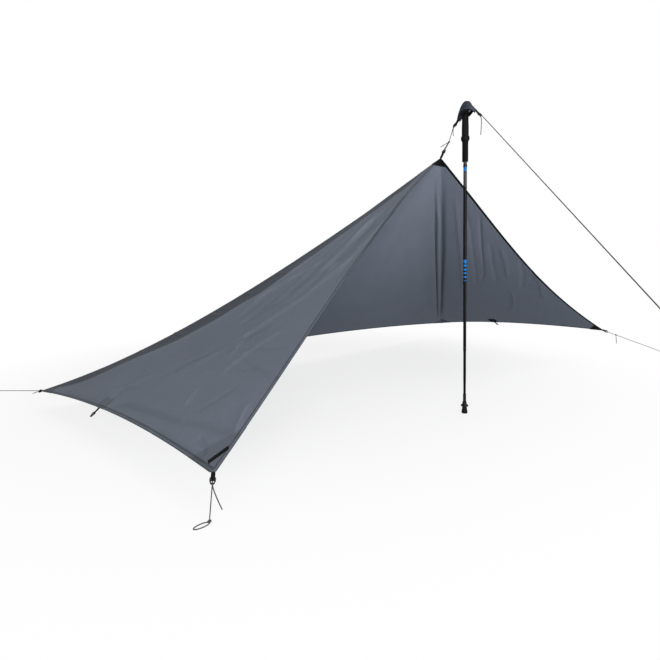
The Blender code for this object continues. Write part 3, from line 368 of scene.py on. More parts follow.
@dataclass(frozen=True)
class RipstopNylon(Finish):
    """Woven ripstop nylon with a silicone coat: a faint grid, soft creases and a dull sheen."""

    space: Space = Space.SURFACE
    flat: Flat = (3.297, 1.435)
    hemmed: bool = True
    hem: float = 0.012
    hem_step: float = 0.0016
    rows: Flat = (0.0022, 0.0102)
    row_half: float = 0.0009
    stitch: float = 0.0034
    stitch_share: float = 0.72
    grid: float = 0.0055
    thread: float = 0.0007
    glow: float = 0.065
    glow_colour: str = "b8c6e0"
    crumple: float = 0.0017

    def lines(self, tree: Tree, across: Socket, pitch: float, width: float) -> Socket:
        """A mask, 1 on the lines that lie a pitch apart across a coordinate.

        Args:
            tree: the material's nodes.
            across: the coordinate.
            pitch: the distance from line to line in metres.
            width: the line's width in metres.

        Returns:
            The mask.
        """
        scaled = add(tree, "Math MULTIPLY", (across, 1.0 / pitch))
        part = add(tree, "Math FRACT", (scaled,))
        return add(tree, "Math LESS_THAN", (part, width / pitch))

    def sewing(self, tree: Tree, u: Socket, v: Socket) -> tuple[Socket, Socket, Socket]:
        """The hem that runs along every cut edge of the cloth.

        Args:
            tree: the material's nodes.
            u: the coordinate along the cloth.
            v: the coordinate down it.

        Returns:
            Masks of the painted shadow beside the hem's step, of its doubled cloth and of its
            thread.
        """
        edge = add(tree, "Math MINIMUM", (u, v))
        for full, place in zip(self.flat, (u, v)):
            rest = add(tree, "Math SUBTRACT", (full, place))
            edge = add(tree, "Math MINIMUM", (edge, rest))
        middle = self.hem + self.hem_step * 0.75
        step = add(tree, "Math COMPARE", (edge, middle, self.hem_step))
        fold = add(tree, "Math LESS_THAN", (edge, self.hem))
        rows = [add(tree, "Math COMPARE", (edge, r, self.row_half)) for r in self.rows]
        row = add(tree, "Math MAXIMUM", rows)
        run = add(tree, "Math ADD", (u, v))
        dash = self.lines(tree, run, self.stitch, self.stitch * self.stitch_share)
        return step, fold, add(tree, "Math MULTIPLY", (row, dash))

    def pattern(self, tree: Tree, place: Socket) -> Values:
        """The weave, the creases, the hem with a painted shadow at its step, the painted shade and
        light read from the attribute, and the light that the thin cloth lets through.
        """
        u, v = (add(tree, "SeparateXYZ", (place,), out) for out in (0, 1))
        grid = [self.lines(tree, axis, self.grid, self.thread) for axis in (u, v)]
        ripstop = add(tree, "Math MAXIMUM", grid)
        tone = add(tree, "MapRange", {0: ripstop, 3: 1.0, 4: 0.93})
        colour = self.mottled(tree, place, 0.16, 0.045)
        colour = add(tree, "VectorMath MULTIPLY", (colour, tone))
        # The heights that light the creases: packing crumples, the finer crush and the grid
        soft = add(tree, "TexNoise", Vector=place, Scale=14.0, Detail=3.0, Distortion=0.8)
        crush = add(tree, "TexVoronoi", Vector=place, Scale=31.0, feature="DISTANCE_TO_EDGE")
        crease = add(tree, "MapRange", (crush, 0.0, 0.12, 0.35, 0.0))
        height = add(tree, "Math ADD", (soft, crease))
        height = add(tree, "Math MULTIPLY_ADD", (ripstop, 0.10, height))
        # Painted shade and light from the attribute and along the hem darken or brighten both the
        # colour and the light that passes through
        shade = add(tree, "Attribute", out="Fac", attribute_name=PAINTED_SHADE_AND_TONE)
        after_painted_shade = add(tree, "Math SUBTRACT", (1.0, shade))
        if self.hemmed:
            masks = self.sewing(tree, u, v)
            # The hem: a painted shadow beside its step, its doubled cloth darker partly as painted
            # shade, and the darker thread of its stitching
            for mask, loss in zip(masks, (0.45, 0.14, 0.65)):
                left = add(tree, "Math MULTIPLY_ADD", (mask, -loss, 1.0))
                after_painted_shade = add(tree, "Math MULTIPLY", (after_painted_shade, left))
            height = add(tree, "Math MULTIPLY_ADD", (masks[2], -0.5, height))
        colour = add(tree, "VectorMath MULTIPLY", (colour, after_painted_shade))
        relief = add(tree, "Bump", Height=height, Strength=0.55, Distance=self.crumple)
        # Light that enters the thin cloth leaves it again through the face behind
        passed = add(tree, "VectorMath MULTIPLY", (linear(self.glow_colour)[:3], after_painted_shade))
        glow = add(tree, "BsdfTranslucent", Color=passed, Normal=relief)
        skin = tree.nodes["Principled BSDF"].outputs[0]
        through = add(tree, "MixShader", (self.glow, skin, glow))
        behind = add(tree, "NewGeometry", out="Backfacing")
        thin = add(tree, "MixShader", (behind, through, add(tree, "BsdfTransparent")))
        put(tree, tree.nodes["Material Output"], {"Surface": thin})
        sheen = {"Sheen Weight": 0.03, "Sheen Roughness": 0.45}
        return {"Base Color": colour, "Normal": relief, **sheen}


@dataclass(frozen=True)
class WovenTape(Finish):
    """Woven nylon tape and webbing: short ribs across it, in a dull fibre sheen."""

    space: Space = Space.SURFACE
    rib: float = 0.0012

    def pattern(self, tree: Tree, place: Socket) -> Values:
        """The ribs, which cross at right angles, with painted light and shade that follows them."""
        waves = []
        for axis, pitch in enumerate((self.rib, self.rib * 1.6)):
            across = add(tree, "SeparateXYZ", (place,), axis)
            turn = add(tree, "Math MULTIPLY", (across, 2.0 * math.pi / pitch))
            waves.append(add(tree, "Math SINE", (turn,)))
        weave = add(tree, "Math MULTIPLY", waves)
        # Painted light and shade: the colour is lighter on the rib crests and darker between them
        tone = add(tree, "MapRange", (weave, -1.0, 1.0, 0.72, 1.35))
        colour = self.mottled(tree, place, 0.004, 0.15)
        colour = add(tree, "VectorMath MULTIPLY", (colour, tone))
        relief = add(tree, "Bump", Height=weave, Strength=0.5, Distance=0.0003)
        return {"Base Color": colour, "Normal": relief, "Sheen Weight": 0.03}


@dataclass(frozen=True)
class BraidedCord(Finish):
    """Braided polyester cord: crossing strands in two tones, dull and a little fuzzy."""

    space: Space = Space.SURFACE
    fleck: str = "7d7a74"
    braid: float = 0.0042
    strands: float = 4.0

    def pattern(self, tree: Tree, place: Socket) -> Values:
        """The strands, which wind round the cord both ways."""
        turns = []
        for axis, rate in enumerate((1.0 / self.braid, self.strands)):
            across = add(tree, "SeparateXYZ", (place,), axis)
            turn = add(tree, "Math MULTIPLY", (across, 2.0 * math.pi * rate))
            turns.append(turn)
        waves = []
        for way in ("ADD", "SUBTRACT"):
            turn = add(tree, "Math " + way, turns)
            waves.append(add(tree, "Math SINE", (turn,)))
        braid = add(tree, "Math MAXIMUM", waves)
        light = add(tree, "MapRange", (waves[0], 0.55, 0.95, 0.0, 0.55))
        tones = {0: light, 6: linear(self.colour), 7: linear(self.fleck)}
        colour = add(tree, "Mix", tones, 2, data_type="RGBA")
        relief = add(tree, "Bump", Height=braid, Strength=0.7, Distance=0.0003)
        return {"Base Color": colour, "Normal": relief, "Sheen Weight": 0.2}


@dataclass(frozen=True)
class MouldedPlastic(Finish):
    """Moulded acetal or nylon: a fine spark texture with rubbed, glossier patches."""

    grain: float = 0.0006
    depth: float = 0.00005
    rubbing: float = 0.1

    def pattern(self, tree: Tree, place: Socket) -> Values:
        """The grain, and the gloss of the rubbed patches."""
        grain = add(tree, "TexNoise", Vector=place, Scale=1.0 / self.grain, Detail=2.0)
        rubbed = add(tree, "TexNoise", Vector=place, Scale=160.0, Detail=3.0)
        ends = (self.roughness - self.rubbing, self.roughness + self.rubbing)
        gloss = add(tree, "MapRange", (rubbed, 0.3, 0.7, *ends))
        relief = add(tree, "Bump", Height=grain, Strength=0.4, Distance=self.depth)
        colour = self.mottled(tree, place, 0.02, 0.12)
        return {"Base Color": colour, "Roughness": gloss, "Normal": relief}


@dataclass(frozen=True)
class CellularRubber(Finish):
    """Moulded rubber or closed-cell foam: a matt skin of pores over a soft, uneven body."""

    pore: float = 0.0012
    depth: float = 0.00015

    def pattern(self, tree: Tree, place: Socket) -> Values:
        """The pores and the dust between them."""
        pores = add(tree, "TexVoronoi", Vector=place, Scale=1.0 / self.pore, feature="SMOOTH_F1")
        dust = add(tree, "TexNoise", Vector=place, Scale=300.0, Detail=4.0)
        height = add(tree, "Math ADD", (pores, dust))
        relief = add(tree, "Bump", Height=height, Strength=0.6, Distance=self.depth)
        return {"Base Color": self.mottled(tree, place, 0.006, 0.18), "Normal": relief}


@dataclass(frozen=True)
class PoleTube(Finish):
    """Anodised aluminium tube, black and glossy, with painted bands and fine draw lines."""

    paint: str = "0a6ec0"
    bare: str = "3c3d3f"
    bands: tuple[Flat, ...] = ()
    bare_from: float = 9.0

    def pattern(self, tree: Tree, place: Socket) -> Values:
        """The draw lines, the bare top and the bands."""
        height = add(tree, "SeparateXYZ", (place,), 2)
        mask: Any = 0.0
        for middle, half in self.bands:
            band = add(tree, "Math COMPARE", (height, middle, half))
            mask = add(tree, "Math MAXIMUM", (mask, band))
        stretched = add(tree, "Mapping", Vector=place, Scale=(240.0, 240.0, 14.0))
        drawn = add(tree, "TexNoise", Vector=stretched, Scale=1.0, Detail=3.0)
        ends = (self.roughness - 0.04, self.roughness + 0.06)
        gloss = add(tree, "MapRange", (drawn, 0.3, 0.7, *ends))
        relief = add(tree, "Bump", Height=drawn, Strength=0.05, Distance=0.00003)
        # Above the printed length the tube keeps the grey of its anodising
        above = add(tree, "Math GREATER_THAN", (height, self.bare_from))
        tones = {0: above, 6: linear(self.colour), 7: linear(self.bare)}
        ground = add(tree, "Mix", tones, 2, data_type="RGBA")
        ground = self.mottled(tree, place, 0.05, 0.06, ground)
        tones = {0: mask, 6: ground, 7: linear(self.paint)}
        colour = add(tree, "Mix", tones, 2, data_type="RGBA")
        metal = add(tree, "MapRange", {0: mask, 3: self.metallic, 4: 0.0})
        made = {"Base Color": colour, "Roughness": gloss, "Metallic": metal, "Normal": relief}
        return {**made, "Coat Weight": 0.03, "Coat Roughness": 0.2}


@dataclass(frozen=True)
class PlatedSteel(Finish):
    """Steel or hard metal, turned and plated: bright, with faint tool rings."""

    rubbing: float = 0.06

    def pattern(self, tree: Tree, place: Socket) -> Values:
        """The tool rings."""
        wave = {"Vector": place, "Scale": 700.0, "Distortion": 1.5, "Detail": 2.0}
        rings = add(tree, "TexWave", wave, "Fac", bands_direction="Z")
        ends = {3: self.roughness - self.rubbing, 4: self.roughness + self.rubbing}
        gloss = add(tree, "MapRange", {0: rings, **ends})
        relief = add(tree, "Bump", Height=rings, Strength=0.2, Distance=0.00004)
        colour = self.mottled(tree, place, 0.01, 0.08)
        return {"Base Color": colour, "Roughness": gloss, "Normal": relief}


# The painted bands of the upper tube: the height of each one's middle, and half its width
BANDS = (
    (1.0350, 0.0080),
    (0.6525, 0.0072),
    (0.6355, 0.0045),
    (0.6190, 0.0041),
    (0.6035, 0.0035),
    (0.5870, 0.0031),
    (0.5725, 0.0012),
)


class Finishes:
    """Every finish of the shelter, built once, by the part that wears it."""

    def __init__(self) -> None:
        """Build them."""
        # Ripstop weave under silicone: a dull slate skin whose grid shows only close up
        cloth = RipstopNylon("ripstop_nylon_silicone_coated", "ripstop", "646a74", 0.55, 0.2)
        self.cloth = cloth.build()
        # The same weave in near black, unhemmed, with the sky's light coming through it
        hood = RipstopNylon(
            "ripstop_nylon_hood", "ripstop", "2a2d31", 0.6, 0.2, hemmed=False, glow=0.22
        )
        self.hood = hood.build()
        # Woven tape: the ribs take the light in short dull strokes, over painted light and shade
        # that follows them
        self.tape = WovenTape("nylon_tape_woven", "webbing", "0c0c0f", 0.8, 0.15).build()
        # Braided cord: two-tone strands that cross, grey-brown from afar
        self.cord = BraidedCord("polyester_cord_braided", "cord", "403f3e", 0.8, 0.2).build()
        # Moulded acetal: near black, fine-grained, glossier where it is rubbed
        self.lock = MouldedPlastic("acetal_moulded", "black_plastic", "0b0b0d", 0.42, 0.35).build()
        # Moulded rubber: deep black and matt
        grip = CellularRubber("rubber_moulded", "grip_rubber", "0a0a0c", 0.75, 0.2, pore=0.0016)
        self.grip = grip.build()
        # Closed-cell foam: a softer black with fine pores
        foam = CellularRubber("eva_foam_closed_cell", "foam", "0e0e11", 0.9, 0.15, pore=0.0011)
        self.foam = foam.build()
        # Anodised tube: black with a warm reflection, bands of paint over it
        black = ("pole_tube", "060607", 0.36, 0.12, 0.1)
        banded = PoleTube("aluminium_anodised_banded", *black, bands=BANDS, bare_from=0.962)
        self.upper_tube = banded.build()
        self.tube = PoleTube("aluminium_anodised", *black).build()
        # Natural nylon: milky white, slightly waxy
        white = MouldedPlastic("nylon_natural_moulded", "white_plastic", "dcdad2", 0.45)
        self.white = white.build()
        # Zinc over turned steel: bright and cool, drawn out by the tool rings
        steel = PlatedSteel("steel_zinc_plated_turned", "steel", "b9bcc0", 0.28, metallic=1.0)
        self.steel = steel.build()
        # Harder rubber than the grip's: a shade paler, with coarser pores
        foot = CellularRubber("rubber_moulded_foot", "foot_rubber", "101114", 0.8, 0.2, pore=0.0020)
        self.foot = foot.build()


# Studio


class Kind(Enum):
    """What a lamp is."""

    SKY = "SUN"
    SOFT_BOX = "AREA"


@dataclass(frozen=True)
class Lamp:
    """A lamp: where it hangs, what it points at, its power, and its size in degrees or metres."""

    name: str
    kind: Kind
    place: Place
    aim: Place
    power: float
    size: float

    def hang(self) -> None:
        """Put the lamp in the scene."""
        data = bpy.data.lights.new(self.name, self.kind.value)
        data.energy = self.power
        if self.kind is Kind.SKY:
            data.angle = math.radians(self.size)
        else:
            data.size = self.size
        made = placed(self.name, data)
        made.location = self.place
        looks = Vector(self.aim) - Vector(self.place)
        made.rotation_euler = looks.to_track_quat("-Z", "Y").to_euler()


@dataclass
class Studio:
    """The camera at the photograph's angle, the pale floor and the soft light."""

    position: Place = (-1.596, -1.048, 0.634)
    yaw: float = 39.26
    pitch: float = 4.02
    roll: float = -1.11
    focal_pixels: float = 430.0
    frame_pixels: float = 660.0
    axis_row: float = 298.84
    floor_size: float = 60.0
    floor_drop: float = 0.0003
    floor_grey: str = "a8a8a8"
    floor_white: float = 0.78
    shade_middle: Place = (-0.1, 1.15, 0.0)
    white_from: float = 0.8
    white_to: float = 2.3
    room_strength: float = 0.26
    lamps: tuple[Lamp, ...] = (
        Lamp("ceiling", Kind.SKY, (0.0, 0.0, 0.0), (-0.25, 0.30, -1.0), 0.60, 36.0),
        Lamp("front_fill", Kind.SOFT_BOX, (-0.3, -2.3, 0.35), (0.1, 0.5, 0.95), 34.0, 1.2),
        Lamp("left_key", Kind.SOFT_BOX, (-3.9, -3.6, 1.8), (-0.3, 0.6, 0.5), 185.0, 2.0),
    )

    def camera(self) -> None:
        """Set up the camera that the photograph was fitted to."""
        yaw, pitch, roll = (math.radians(a) for a in (self.yaw, self.pitch, self.roll))
        ahead = Vector((math.sin(yaw), math.cos(yaw), 0.0))
        right = Vector((math.cos(yaw), -math.sin(yaw), 0.0))
        looks = ahead * math.cos(pitch) - UP * math.sin(pitch)
        up = ahead * math.sin(pitch) + UP * math.cos(pitch)
        side = right * math.cos(roll) + up * math.sin(roll)
        top = up * math.cos(roll) - right * math.sin(roll)
        data = bpy.data.cameras.new("photo_camera")
        data.lens = self.focal_pixels / self.frame_pixels * data.sensor_width
        data.shift_y = (self.axis_row - self.frame_pixels / 2) / self.frame_pixels
        data.clip_start = 0.01
        made = placed("photo_camera", data)
        turn = Matrix((side, top, -looks)).transposed().to_4x4()
        made.matrix_world = Matrix.Translation(self.position) @ turn
        bpy.context.scene.camera = made

    def seen(self, tree: Tree) -> Socket:
        """1 for what the lens sees, straight or through clear cloth, and 0 for other light."""
        rays = [add(tree, "LightPath", out=f"Is {k} Ray") for k in ("Camera", "Transmission")]
        return add(tree, "Math MAXIMUM", rays)

    def floor(self) -> None:
        """Lay the pale floor, which a camera sees as white outside the shadow."""
        # Painted board: an even off-white, brighter to the lens than to the shelter
        paint = bpy.data.materials.new("board_painted_matt")
        paint.use_nodes = True
        tree = paint.node_tree
        shader, seen = tree.nodes["Principled BSDF"], self.seen(tree)
        tones = {0: seen, 6: linear(self.floor_grey), 7: linear("ffffff")}
        colour = add(tree, "Mix", tones, 2, data_type="RGBA")
        put(tree, shader, {"Base Color": colour, "Roughness": 0.9, "Specular IOR Level": 0.1})
        place = add(tree, "TexCoord", out="Object")
        away = add(tree, "VectorMath DISTANCE", (place, self.shade_middle), "Value")
        reach = (away, self.white_from, self.white_to, self.floor_white, 1.0)
        paling = add(tree, "MapRange", reach, interpolation_type="SMOOTHSTEP")
        share = add(tree, "Math MULTIPLY", (seen, paling))
        white = add(tree, "Emission", Color=linear("ffffff"), Strength=1.0)
        mixed = add(tree, "MixShader", (share, shader.outputs[0], white))
        put(tree, tree.nodes["Material Output"], {"Surface": mixed})
        bm, sunk = bmesh.new(), Matrix.Translation((0.0, 0.0, -self.floor_drop))
        bmesh.ops.create_grid(bm, x_segments=1, y_segments=1, size=self.floor_size / 2, matrix=sunk)
        meshed("floor", bm, paint)

    def build(self) -> None:
        """Lay the floor and light it: an even pale room, a broad ceiling and two soft lamps."""
        self.floor()
        world = bpy.data.worlds.new("room")
        bpy.context.scene.world = world
        world.use_nodes = True
        tree = world.node_tree
        strength = add(tree, "MapRange", {0: self.seen(tree), 3: self.room_strength, 4: 1.0})
        put(tree, tree.nodes["Background"], {"Color": linear("ffffff"), "Strength": strength})
        for lamp in self.lamps:
            lamp.hang()
        bpy.context.scene.view_settings.view_transform = "Standard"


# The pitched cloth


@dataclass(frozen=True)
class Crease:
    """A crease on the flat cloth: where it runs, how high it stands and how wide it is."""

    line: tuple[Flat, ...]
    height: float
    width: float
    ends: float = 0.2

    def reach(self, flats: np.ndarray) -> tuple[np.ndarray, np.ndarray]:
        """How some points of the flat cloth lie to the crease.

        Args:
            flats: the points, one a row.

        Returns:
            Their distances to its line, and the shares of its length at which they lie.
        """
        points = np.array(self.line)
        steps = np.linalg.norm(np.diff(points, axis=0), axis=1)
        before = np.concatenate(([0.0], np.cumsum(steps)))
        nearest = np.full(len(flats), np.inf)
        part = np.zeros(len(flats))
        for start, end, length, past in zip(points, points[1:], steps, before):
            along = np.clip((flats - start) @ (end - start) / length**2, 0.0, 1.0)
            away = np.linalg.norm(flats - start - along[:, None] * (end - start), axis=1)
            closer = away < nearest
            nearest = np.where(closer, away, nearest)
            part = np.where(closer, (past + along * length) / before[-1], part)
        return nearest, part

    def heights(self, flats: np.ndarray) -> np.ndarray:
        """The crease's height at some points, one a row, of the flat cloth."""
        nearest, part = self.reach(flats)
        grown = np.clip(np.minimum(part, 1.0 - part) / self.ends, 0.0, 1.0)
        return self.height * eased(grown) * np.exp(-((nearest / self.width) ** 2))


def folds(width: float, heights: tuple[float, ...], *rows: str) -> list[Crease]:
    """Creases of one width.

    Args:
        width: the width.
        heights: the heights, taken in turn.
        rows: a line each, in whole millimetres along the flat cloth and down it by turns.

    Returns:
        The creases.
    """
    made = []
    for index, row in enumerate(rows):
        marks = [int(mark) / 1000 for mark in row.split()]
        line = tuple(zip(marks[::2], marks[1::2]))
        made.append(Crease(line, heights[index % len(heights)], width))
    return made


# The crest below the left ridge, and the fold of the pleat beside the right one
CREST = "1521 74 1261 124 1073 248 899 372 715 480 541 624 417 751 298 927 170 1103 78 1247"
PLEAT = "1724 84 1866 216 2146 476 2554 843 3091 1315"


def painted_shade_lines() -> list[Crease]:
    """The painted lines of shade and light, with no relief under them: a painted highlight on the
    pleat, the painted shadow of its fold along the right ridge, soft painted shade beside it, and a
    thin dark line down the right wing.
    """
    return [
        *folds(0.016, (-0.20,), PLEAT),
        *folds(0.008, (0.80,), "1660 48 1848 220 2229 564 2825 1087 3109 1335 3210 1430"),
        *folds(0.050, (0.10,), "1720 160 1800 240 2080 520 2490 900 3000 1330"),
        *folds(0.020, (0.72,), "1697 20 1903 200 2302 544 2760 963 3173 1335 3260 1420"),
        *folds(0.006, (0.35,), "2045 4 2302 168 2495 296 2650 408 2719 476 2740 530"),
    ]


def tension_creases(apex: float, streaks: int = 24, seed: int = 7) -> list[Crease]:
    """The creases of the pitched cloth.

    Args:
        apex: where along the front edge the apex lies.
        streaks: how many straight streaks fan over the left wing.
        seed: the choice of where they lie.

    Returns:
        The creases, in metres on the flat cut.
    """
    made = [
        *folds(0.080, (0.018,), CREST),
        *folds(0.016, (0.0050,), CREST),
        *folds(0.020, (-0.0080,), PLEAT),
    ]
    # Pinches over the crest, then long streaks beside it
    made += folds(0.010, (0.0055,),
        "963 582 890 424", "826 705 780 556", "683 829 633 664", "540 957 509 815",
        "399 1077 358 939",
    )
    made += folds(0.014, (0.0046, -0.0050),
        "1302 40 977 168 789 376 573 548", "1266 20 903 116 679 276 459 460",
        "1252 10 867 60 651 164 399 360 197 532", "541 188 399 360 298 520 165 644",
        "1431 20 1344 184 1165 316 1000 456 711 640",
    )
    # At the left side loop, at the front left corner, and fine ones over the left wing
    made += folds(0.012, (-0.0065, -0.0055),
        "18 760 50 664 60 480 69 336 78 232", "73 300 92 188 105 84 115 20",
        "10 790 50 790 110 780", "28 1259 22 1027 14 823",
    )
    made += folds(0.010, (-0.0055, -0.0040, 0.0040),
        "16 400 14 256 12 136 10 40", "26 74 42 110 60 160", "110 26 150 40 210 60",
    )
    made += folds(0.009, (-0.0030, 0.0030),
        "422 40 385 252 362 420", "481 316 404 312 335 304", "353 280 321 132 307 16",
        "518 116 385 224 248 288", "307 292 298 196 335 108", "206 336 151 332 115 324",
        "248 144 174 204 115 252", "229 656 138 767 73 883", "128 839 124 743 147 656",
    )
    # The right wing's long edge and its streaks, then the broad folds of the back
    made += folds(0.008, (0.0055,), "2045 20 2155 84 2284 164 2426 256 2559 336 2637 396 2728 508")
    made += folds(0.014, (-0.0040, 0.0036),
        "1866 64 2123 244 2444 476 2866 799", "1912 48 2183 180 2485 376 2816 616",
        "2343 64 2508 128 2705 236", "2472 12 2646 88 2825 216", "2609 10 2756 36 2939 136",
        "2288 100 2504 228 2765 372", "2825 288 2999 400 3127 532",
    )
    made += folds(0.055, (-0.0100, 0.0080),
        "1866 252 2082 492 2444 855 2912 1299", "1743 228 1917 492 2183 847 2504 1271",
        "1655 264 1715 528 1802 867 1894 1239",
    )
    chance = random.Random(seed)
    for index in range(streaks):
        slope = 0.05 + 0.62 * (index + chance.uniform(0.1, 0.9)) / streaks
        near = chance.uniform(0.30, 0.55)
        far = near + chance.uniform(0.35, 0.75)
        places = ((near, 0.0), ((near + far) / 2, chance.uniform(-0.03, 0.03)), (far, 0.0))
        line = tuple((apex - out, out * slope + shift) for out, shift in places)
        height = chance.choice((-1, 1)) * chance.uniform(0.0020, 0.0040)
        made.append(Crease(line, height, 0.013))
    return made


@dataclass
class Plan:
    """Where the shelter stands: its corners, its apex, its pole and its pegs."""

    grip_top: float = 1.3021
    apex: Vector = Vector((0.110, 0.202, 1.1391))
    front_left: Vector = Vector((-1.172, -0.057, 0.128))
    rear_left: Vector = Vector((-1.402, 1.338, 0.091))
    rear_right: Vector = Vector((1.672, 1.338, 0.118))
    front_right: Vector = Vector((1.442, -0.057, 0.211))
    rear_left_peg: Flat = (-1.556, 1.905)
    front_left_peg: Flat = (-1.180, -0.0415)
    front_right_peg: Flat = (1.754, -0.473)
    guyline_peg: Flat = (-0.703, -1.289)

    @property
    def along(self) -> Vector:
        """The level direction from the pole to the apex."""
        return Vector((*self.apex.xy, 0.0)).normalized()

    @property
    def across(self) -> Vector:
        """The level direction square to the one from the pole to the apex."""
        return Vector((self.along.y, -self.along.x, 0.0))

    def by_pole(self, reach: float, height: float, aside: float = 0.0) -> Vector:
        """A place by its distance from the pole towards the apex, its height and its offset."""
        return self.along * reach + self.across * aside + UP * height

    def peg(self, name: str) -> Vector:
        """Where a cord meets the ground."""
        return Vector((*getattr(self, name + "_peg"), 0.0))


@dataclass
class FanCloth:
    """The pitched cloth: a flat rectangle that hangs as a fan of lines from the apex."""

    plan: Plan
    length: float = 3.297
    width: float = 1.435
    middle: float = 1.653
    left_bow: float = 0.038
    right_bow: float = 0.055
    rear_bow: float = 0.120
    rear_skew: float = -0.22
    front_left_bow: float = 0.042
    front_left_skew: float = -0.75
    front_right_bow: float = 0.079
    front_right_skew: float = 0.60
    ridge_sag: float = 0.087
    ridge_skew: float = 0.33
    back_sag: float = 0.035
    back_skew: float = 0.20
    ridge_rounding: float = 0.040
    ridge_end: float = 0.16
    flat_top: float = 0.035
    pleat_width: float = 0.075
    pleat_height: float = 0.016
    pleat_top: float = 0.25
    corner: float = 0.25
    cover: Vector = Vector((0.135, 0.6405, 0.091))

    def __post_init__(self) -> None:
        """Work out what the cloth's points share: its outer sides and the sags of its lines."""
        plan, low, high = self.plan, self.corner, 1.0 - self.corner
        marks = (0.0, low, high, 1.0)
        corners = (plan.front_left, plan.rear_left, plan.rear_right, plan.front_right)
        bows = ((self.left_bow, 0.0), (self.rear_bow, self.rear_skew), (self.right_bow, 0.0))
        self.sides = tuple(zip(marks, marks[1:], corners, corners[1:], bows))
        self.wing_speed = (plan.rear_left - plan.front_left).length / low
        self.back_speed = (plan.rear_right - plan.rear_left).length / (high - low)
        left = inward(plan.apex, plan.front_left, plan.rear_left) * self.front_left_bow
        right = inward(plan.apex, plan.front_right, plan.rear_right) * self.front_right_bow
        self.sags = (
            (0.0, left, self.front_left_skew),
            (low, UP * -self.ridge_sag, self.ridge_skew),
            (0.5, UP * -self.back_sag, self.back_skew),
            (high, UP * 0.0, 0.0),
            (1.0, right, self.front_right_skew),
        )
        back = (plan.rear_right - plan.rear_left).cross(plan.apex - plan.rear_left).normalized()
        self.back_normal = back if back.dot(self.cover - plan.apex) > 0.0 else -back

    def fan(self, flat: Flat) -> Flat:
        """Where a point of the flat cloth lies on the fan.

        Args:
            flat: metres along the cloth and down it.

        Returns:
            The share along the outer edge, and the share out from the apex to it.
        """
        along, down = flat[0] - self.middle, max(flat[1], 0.0)
        if abs(along) < 1e-9 and down < 1e-9:
            return 0.5, 0.0
        sides = []
        if along < 0.0:
            reach = -self.middle / along
            sides.append((reach, self.corner * down * reach / self.width))
        if along > 0.0:
            reach = (self.length - self.middle) / along
            sides.append((reach, 1.0 - self.corner * down * reach / self.width))
        if down > 0.0:
            reach = self.width / down
            across = (self.middle + along * reach) / self.length
            sides.append((reach, self.corner + (1.0 - 2.0 * self.corner) * across))
        reach, share = min(sides)
        return min(max(share, 0.0), 1.0), 1.0 / reach

    def edge(self, share: float) -> Vector:
        """A point of the outer edge, whose three sides are cut in shallow curves."""
        first, last, start, end, (bow, skew) = next(s for s in self.sides if share <= s[1])
        part = (share - first) / (last - first)
        bowed = inward(start, end, self.plan.apex) * bow * bow_at(part, skew)
        return between(start, end, part) + bowed

    def rounded_edge(self, share: float, out: float) -> Vector:
        """The outer edge as the fan sees it, with its rear corners rounded inside the cloth."""
        fade = min(1.0, (1.0 - out) / self.ridge_end, (out - self.flat_top) / self.ridge_end)
        half = self.ridge_rounding * fade / (max(out, 1e-6) * self.wing_speed)
        for corner in (self.corner, 1.0 - self.corner):
            if half > 0.0 and abs(share - corner) < half:
                part = (share - corner + half) / (2.0 * half)
                first = between(self.edge(corner - half), self.edge(corner), part)
                last = between(self.edge(corner), self.edge(corner + half), part)
                return between(first, last, part)
        return self.edge(share)

    def sag(self, share: float, out: float) -> Vector:
        """How far a line of the fan leaves its chord."""
        pairs = zip(self.sags, self.sags[1:])
        (low, first, low_skew), (high, last, high_skew) = next(p for p in pairs if share <= p[1][0])
        part = eased((share - low) / (high - low))
        return between(first, last, part) * bow_at(out, low_skew + (high_skew - low_skew) * part)

    def pleat(self, share: float, out: float) -> Vector:
        """The long soft pleat beside the line from the apex to the rear right corner."""
        away = (1.0 - self.corner - share) * self.back_speed * out
        grown = min(1.0, out / self.pleat_top)
        width = self.pleat_width * grown
        if not 0.0 < away < width:
            return Vector()
        height = self.pleat_height * grown * math.sin(math.pi * away / width) * bow_at(out)
        return self.back_normal * height

    def point(self, flat: Flat) -> Vector:
        """Where a point of the flat cloth hangs."""
        share, out = self.fan(flat)
        chord = between(self.plan.apex, self.rounded_edge(share, out), out)
        return chord + self.sag(share, out) + self.pleat(share, out)

    def normal(self, flat: Flat, step: float = 0.002) -> Vector:
        """The cloth's normal at a flat point, towards the weather."""
        along = self.point((flat[0] + step, flat[1])) - self.point((flat[0] - step, flat[1]))
        down = self.point((flat[0], flat[1] + step)) - self.point((flat[0], flat[1] - step))
        made = along.cross(down).normalized()
        return made if made.dot(self.point(flat) - self.cover) > 0.0 else -made


@dataclass(frozen=True)
class Tie:
    """A tie-out: where its webbing leaves the cloth, where it points and how its seat lies."""

    seat: Vector
    pull: Vector
    outward: Vector
    normal: Vector
    turn: Matrix
    webbing: float
    nose_reach: float = 0.0190

    @property
    def bar(self) -> Vector:
        """The middle of the bar that the webbing goes round."""
        return self.seat + self.pull * self.webbing

    @property
    def nose(self) -> Vector:
        """The tip of the buckle."""
        return self.bar + self.pull * self.nose_reach


